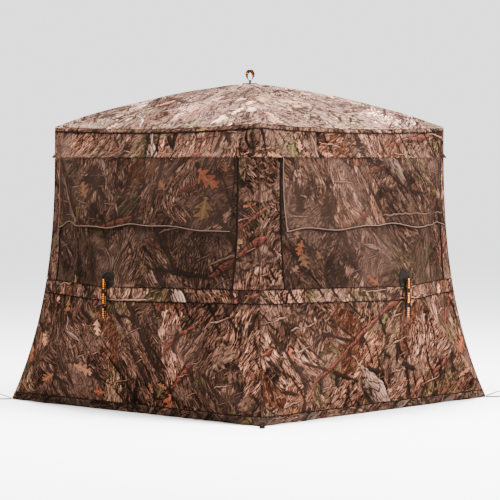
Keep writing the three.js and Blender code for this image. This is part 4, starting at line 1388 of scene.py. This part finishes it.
def webbing_loop(name, outline, frame_axes, origin, material, twist=0.0, wander=0.0, width=WEBBING):
    """Webbing bent round a loop. frame_axes are (run, across, along the bar)."""
    run, across, bar = [np.asarray(v, float) for v in frame_axes]
    reach = outline[:, 0].max()
    share = np.clip(outline[:, 0] / reach, 0, 1)
    angle = twist * share ** 2 * (3 - 2 * share)
    lateral = np.linspace(-0.5, 0.5, 7) * width
    spread = 1 - 0.04 * np.sin(share * 14)
    w = lateral[None] * spread[:, None]
    crown = -0.0006 * (2 * lateral[None] / width) ** 2 * np.ones_like(w)
    side_step = outline[:, 1][:, None] + crown + wander * np.sin(share * 7.0)[:, None] * share[:, None]
    y = side_step * np.cos(angle)[:, None] - w * np.sin(angle)[:, None]
    b = side_step * np.sin(angle)[:, None] + w * np.cos(angle)[:, None]
    x = outline[:, 0][:, None] + 0 * w
    points = np.asarray(origin, float) + x[..., None] * run + y[..., None] * across + b[..., None] * bar
    uv = np.stack(np.broadcast_arrays(run_along(outline)[:, None], lateral[None]), -1)
    obj = grid_object(name, points, uv)
    with mesh_edit(obj) as bm:
        bmesh.ops.remove_doubles(bm, verts=bm.verts, dist=1e-6)
        bmesh.ops.recalc_face_normals(bm, faces=bm.faces)
    solid = obj.modifiers.new("thickness", "SOLIDIFY")
    solid.thickness = WEBBING_THICKNESS
    solid.offset = 0
    bevel = obj.modifiers.new("edge", "BEVEL")
    bevel.width = 0.0005
    bevel.segments = 2
    obj.data.materials.append(material)
    return applied(obj)


def box_stitch(origin, run, bar, normal, length, width):
    """A sewn rectangle with a cross in it."""
    c = [np.asarray(origin) + run * x + bar * y for x, y in
         ((0, -width / 2), (length, -width / 2), (length, width / 2), (0, width / 2))]
    lines = [(c[0], c[1]), (c[1], c[2]), (c[2], c[3]), (c[3], c[0]), (c[0], c[2]), (c[1], c[3])]
    return [stitch_part(np.linspace(p, q, 8), normal, 0.0030, 0.0012, 0.0005) for p, q in lines]


STRAP_LENGTH = 0.200
SEWN_FROM, SEWN_LENGTH, SEWN_WIDTH, SEWN_OUT = 0.014, 0.026, 0.018, 0.0068
for side in SIDES + ["roof"]:
    quarter = SIDES.index(side) if side in SIDES else 0
    if side == "roof":
        origin = np.array([0, 0, ROOF_CLOTH_HEIGHT - CLOTH_ABOVE_MIDPLANE + CAP_BAR_HEIGHT])
        run = np.array([0.0, 0.0, 1.0])
        bar = np.array([1.0, -1.0, 0.0]) / math.sqrt(2)
        outline, wander = loop_outline(BAR_RADIUS, ROOF_LOOP_RADIUS, ROOF_LOOP_LENGTH), 0.0
    else:
        origin = turned_point(*(HUB + (CAP_BAR_HEIGHT - CLOTH_ABOVE_MIDPLANE) * WALL_NORMAL), quarter)
        run = np.array([0.0, 0.0, -1.0])
        bar = turned_point(1, 0, 0, quarter)
        outline = loop_outline(BAR_RADIUS, STRAP_END_RADIUS, STRAP_LENGTH - STRAP_ENDS)
        wander = STRAP_WANDER
    across = np.cross(bar, run)
    strap = webbing_loop(f"pull_webbing_{side}", outline, (run, across, bar), origin, STRAP,
                         STRAP_TWIST[side], wander)
    carry(strap, f"pull_strap_{side}", f"pull_strap_{side}")
    if side != "roof":
        sewn = []
        for face in (across, -across):
            start = origin + run * SEWN_FROM + face * SEWN_OUT
            sewn += box_stitch(start, run, bar, face, SEWN_LENGTH, SEWN_WIDTH)
        tack = joined_mesh(f"pull_webbing_bar_tack_{side}", sewn, THREAD)
        carry(tack, f"pull_strap_{side}")

HEM_THICKNESS = 0.004
STAKE_BAR, STAKE_END, STAKE_LENGTH = 0.004, 0.015, 0.066
for quarter, corner in enumerate(CORNERS):
    rise = math.asin((STAKE_END - STAKE_BAR) / STAKE_LENGTH)
    reach = BASE_HALF + HEM_THICKNESS + (STAKE_BAR + 0.0003) / math.sqrt(2)
    origin = turned_point(reach, -reach, STAKE_BAR + 0.0004, quarter)
    flat_run = turned_point(1, -1, 0, quarter) / math.sqrt(2)
    run = flat_run * math.cos(rise) + np.array([0, 0, math.sin(rise)])
    bar = turned_point(1, 1, 0, quarter) / math.sqrt(2)
    outline = loop_outline(STAKE_BAR - 0.0014, STAKE_END - 0.0014, STAKE_LENGTH)
    loop = webbing_loop(f"stake_webbing_{corner}", outline, (run, np.cross(bar, run), bar), origin, LOOP)
    carry(loop, f"stake_loop_{corner}", f"stake_loop_{corner}")


# ---- door, zip and slider on the back wall
BACK = SIDES.index("back")
HINGE = DOOR_OUTLINE[0][0]
GUSSET = 0.655
COIL_RADIUS, COIL_PITCH, COIL_SWING, COIL_LIFT = 0.0011, 0.0032, 0.0013, 0.0034
ZIP_STITCH_INSET, ZIP_STITCH_LIFT = 0.003, 0.0030
back_place = placer("wall", BACK)
door_cut = offset_outline(DOOR_OUTLINE, -(ZIP_WIDTH + 0.001))


def ends_at(outline, along):
    """Where the door outline's lower and upper edges reach a place along the wall."""
    return crossing(outline[1], outline[0], along, 0), crossing(outline[3], outline[4], along, 0)


def back_sheet(name, outline, outer, step=0.012):
    obj = sheet_from_outline(name, outline, [], step, back_place, side_uv["back"])
    face_along(obj, outward(BACK))
    return thicken(obj, CLOTH, outer, LINING)


def on_back(a):
    """A point of the back wall at hub height."""
    return tuple(float(c) for c in wall_points(np.array(a), np.array(HUB_HEIGHT), BACK))


door_low, door_high = ends_at(door_cut, GUSSET)
door = back_sheet("door_cloth", [door_low, door_high, door_cut[3], door_cut[2], door_cut[1]], WALL_CAMO)
on_back(GUSSET)
on_back(GUSSET - 0.05)
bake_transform(door)
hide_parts("door_panel")

hinge_low, hinge_high = ends_at(door_cut, HINGE + 0.0005)
gusset = back_sheet("door_hinge_gusset", [hinge_low, hinge_high, door_high, door_low], WALL_CAMO, 0.009)
on_back(HINGE)
on_back(GUSSET + 0.005)
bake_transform(gusset)

def zip_run(by):
    """The door's outline moved by 'by' and stopped just short of the hinge."""
    outline = offset_outline(DOOR_OUTLINE, by)
    low, high = ends_at(outline, HINGE - 0.001)
    return [low] + outline[1:4] + [high]


outer_run, inner_run = zip_run(0.0), zip_run(-ZIP_WIDTH)
tape = back_sheet("door_zip_webbing", outer_run + inner_run[::-1], BLACK_TAPE_AND_SHADOW, 0.009)
carry(tape, "door_frame", "door_zip_tape")


def along_run(points, step=0.006):
    points = np.array(points, float)
    run = run_along(points)
    at = np.arange(0, run[-1], step)
    return np.stack([np.interp(at, run, points[:, k]) for k in range(2)], -1)


middle_run = [tuple((np.array(p) + np.array(q)) / 2) for p, q in zip(outer_run, inner_run)]
line = along_run(middle_run, COIL_PITCH)
coil_wave = COIL_SWING * np.where(np.arange(len(line)) % 2 == 0, 1, -1)
coil_path = placer("wall", BACK, COIL_LIFT)(line[:, 0], line[:, 1] + coil_wave)
coil = joined_mesh("door_zip_coil", [tube_part(coil_path, COIL_RADIUS, 6)], TEETH)
carry(coil, "door_frame")
DOOR_MIDDLE = np.array([0.5 * (middle_run[1][0] + middle_run[3][0]) + 0.15, 0.72])
tape_stitches = []
for path in (outer_run, inner_run):
    line = along_run(path)
    to_middle = (DOOR_MIDDLE - line) * (1 if path is outer_run else -1)
    to_middle /= np.linalg.norm(to_middle, axis=1, keepdims=True)
    line = line + to_middle * ZIP_STITCH_INSET
    sewn_path = placer("wall", BACK, ZIP_STITCH_LIFT)(line[:, 0], line[:, 1])
    tape_stitches.append(stitch_part(sewn_path, outward(BACK)))
carry(joined_mesh("door_zip_stitching", tape_stitches, THREAD), "door_frame")


# the slider: a waisted body with a bridge, and a flat tab beside it
slider_low, slider_high = [np.array(v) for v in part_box("door_zip_slider")]
slider_centre = (slider_low + slider_high) / 2
run_dir = np.array(wall_points(np.array(0.25), np.array(0.545), BACK)) - np.array(
    wall_points(np.array(0.70), np.array(0.215), BACK))
run_dir /= np.linalg.norm(run_dir)
slider_out = outward(BACK) - run_dir * outward(BACK).dot(run_dir)
slider_out /= np.linalg.norm(slider_out)
slider_side = np.cross(slider_out, run_dir)
seat = slider_centre + run_dir * 0.0145


def lofted(name, stations, material, frame_axes, origin, corner=0.35, sides=16):
    """A rounded body from (along, half width, half height, rise) stations."""
    run, across, out = frame_axes
    t = np.linspace(0, 2 * math.pi, sides, endpoint=False)
    ring = np.stack([np.cos(t), np.sin(t)], -1)
    ring = np.sign(ring) * np.abs(ring) ** corner
    verts = [origin + run * along + across * (ring[:, :1] * width) + out * (ring[:, 1:] * height + rise)
             for along, width, height, rise in stations]
    obj = joined_mesh(name, [(np.concatenate(verts), tube_faces(len(stations), sides), None)], material)
    with mesh_edit(obj) as bm:
        bmesh.ops.recalc_face_normals(bm, faces=bm.faces)
    return obj


slider_axes = (run_dir, slider_side, slider_out)
BODY_STATIONS = [(-0.008, 0.0036, 0.0022, 0), (-0.0076, 0.0042, 0.0030, 0), (-0.002, 0.0040, 0.0030, 0),
                 (0.003, 0.0052, 0.0032, 0), (0.0074, 0.0058, 0.0030, 0), (0.008, 0.0052, 0.0022, 0)]
TAB_STATIONS = [(-0.040, 0.0020, 0.0007, 0.003), (-0.039, 0.0034, 0.0010, 0.003),
                (-0.020, 0.0032, 0.0010, 0.0036), (-0.008, 0.0024, 0.0009, 0.0046),
                (-0.006, 0.0018, 0.0007, 0.0048)]
body = lofted("zip_slider_body", BODY_STATIONS, SLIDER, slider_axes, seat)
arch_rise = 0.0028 + 0.0026 * np.sin(np.linspace(0, math.pi, 13))
arch = seat + np.outer(np.linspace(-0.006, 0.006, 13), run_dir) + np.outer(arch_rise, slider_out)
bridge = joined_mesh("zip_slider_bridge", [tube_part(arch, 0.0011, 8)], SLIDER)
tab = lofted("zip_slider_tab", TAB_STATIONS, SLIDER, slider_axes, seat)
for piece in (body, bridge, tab):
    carry(piece, "zip_slider")
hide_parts("door_zip_slider")


# ---- poles and hubs
for name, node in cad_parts.items():
    finish = POLE if name.startswith("rod_") else HUB_PLASTIC if name.startswith("hub_") else None
    if finish:
        for material_slot in node.material_slots:
            material_slot.material = finish

UPPER_END = (0.698, EAVE_HEIGHT * math.cos(LEAN) - EAVE_HALF * math.sin(LEAN) - 0.034)
LOWER_END = (0.855, -BASE_HALF * math.sin(LEAN) + 0.040)
ROD_TIP = 0.045
WALL_UP = np.array([0.0, math.sin(LEAN), math.cos(LEAN)])
PLANE = BASE_HALF * math.cos(LEAN) - 0.018
HUB_MIDDLE = HUB - CLOTH_ABOVE_MIDPLANE * WALL_NORMAL


def pole_ferrule(name, end, tip, body):
    """A ferrule at the corner end of the pole that runs to tip."""
    along = (tip - end) / np.linalg.norm(tip - end)
    ferrule = np.array([end + along * s for s in (0.0, 0.001, 0.030, 0.031)])
    parts = [tube_part(ferrule, np.array([0.0056, 0.0064, 0.0064, 0.0058]), 20)]
    carry(joined_mesh(f"pole_ferrule_{name}", parts, FERRULE), body)


for quarter, side in enumerate(SIDES):
    for level, (a_end, up) in (("upper", UPPER_END), ("lower", LOWER_END)):
        for hand, sign in (("left", -1), ("right", 1)):
            end = np.array([sign * a_end, 0, 0]) + up * WALL_UP + PLANE * WALL_NORMAL
            in_plane = end - HUB_MIDDLE
            in_plane = in_plane - WALL_NORMAL * in_plane.dot(WALL_NORMAL)
            tip = HUB_MIDDLE + in_plane / np.linalg.norm(in_plane) * ROD_TIP
            pole = f"{side}_{level}_{hand}"
            pole_ferrule(pole, turned_point(*end, quarter), turned_point(*tip, quarter), f"rod_{pole}")
for quarter, corner in enumerate(CORNERS):
    end, tip = turned_point(0.702, -0.702, 1.447, quarter), turned_point(0.0318, -0.0318, 1.673, quarter)
    pole_ferrule(f"roof_{corner}", end, tip, f"rod_roof_{corner}")

CAP_RADIUS = 0.045
RIB_COUNT = 36
RIB_PROFILE = [(0.0002, 0.0012), (0.0004, 0.0036), (0.0068, 0.0076), (0.0110, 0.0082)]
RIB_RADII = [0.0008, 0.0011, 0.0011, 0.0006]
for side in SIDES + ["roof"]:
    if side == "roof":
        centre, out = turned_point(0, 0, ROOF_CLOTH_HEIGHT - CLOTH_ABOVE_MIDPLANE), turned_point(0, 0, 1)
        e1 = turned_point(1, -1, 0) / math.sqrt(2)
    else:
        quarter = SIDES.index(side)
        centre, out, e1 = turned_point(*HUB_MIDDLE, quarter), outward(quarter), turned_point(1, 0, 0, quarter)
    e2 = np.cross(out, e1)
    parts = []
    top = CLOTH_ABOVE_MIDPLANE + 0.0023
    for k in range(RIB_COUNT):
        t = 2 * math.pi * k / RIB_COUNT
        spoke = e1 * math.cos(t) + e2 * math.sin(t)
        path = [centre + spoke * (CAP_RADIUS - inset) + out * (top + height) for inset, height in RIB_PROFILE]
        parts.append(tube_part(path, RIB_RADII, 6))
    ring = np.linspace(0, 2 * math.pi, 65)
    for radius, height in ((0.030, 0.0082), (0.024, 0.0084)):
        circle = centre + np.outer(np.cos(ring) * radius, e1) + np.outer(np.sin(ring) * radius, e2)
        parts.append(tube_part(circle + out * (top + height), 0.0009, 6))
    carry(joined_mesh(f"hub_cap_ribs_{side}", parts, HUB_PLASTIC), f"hub_{side}")
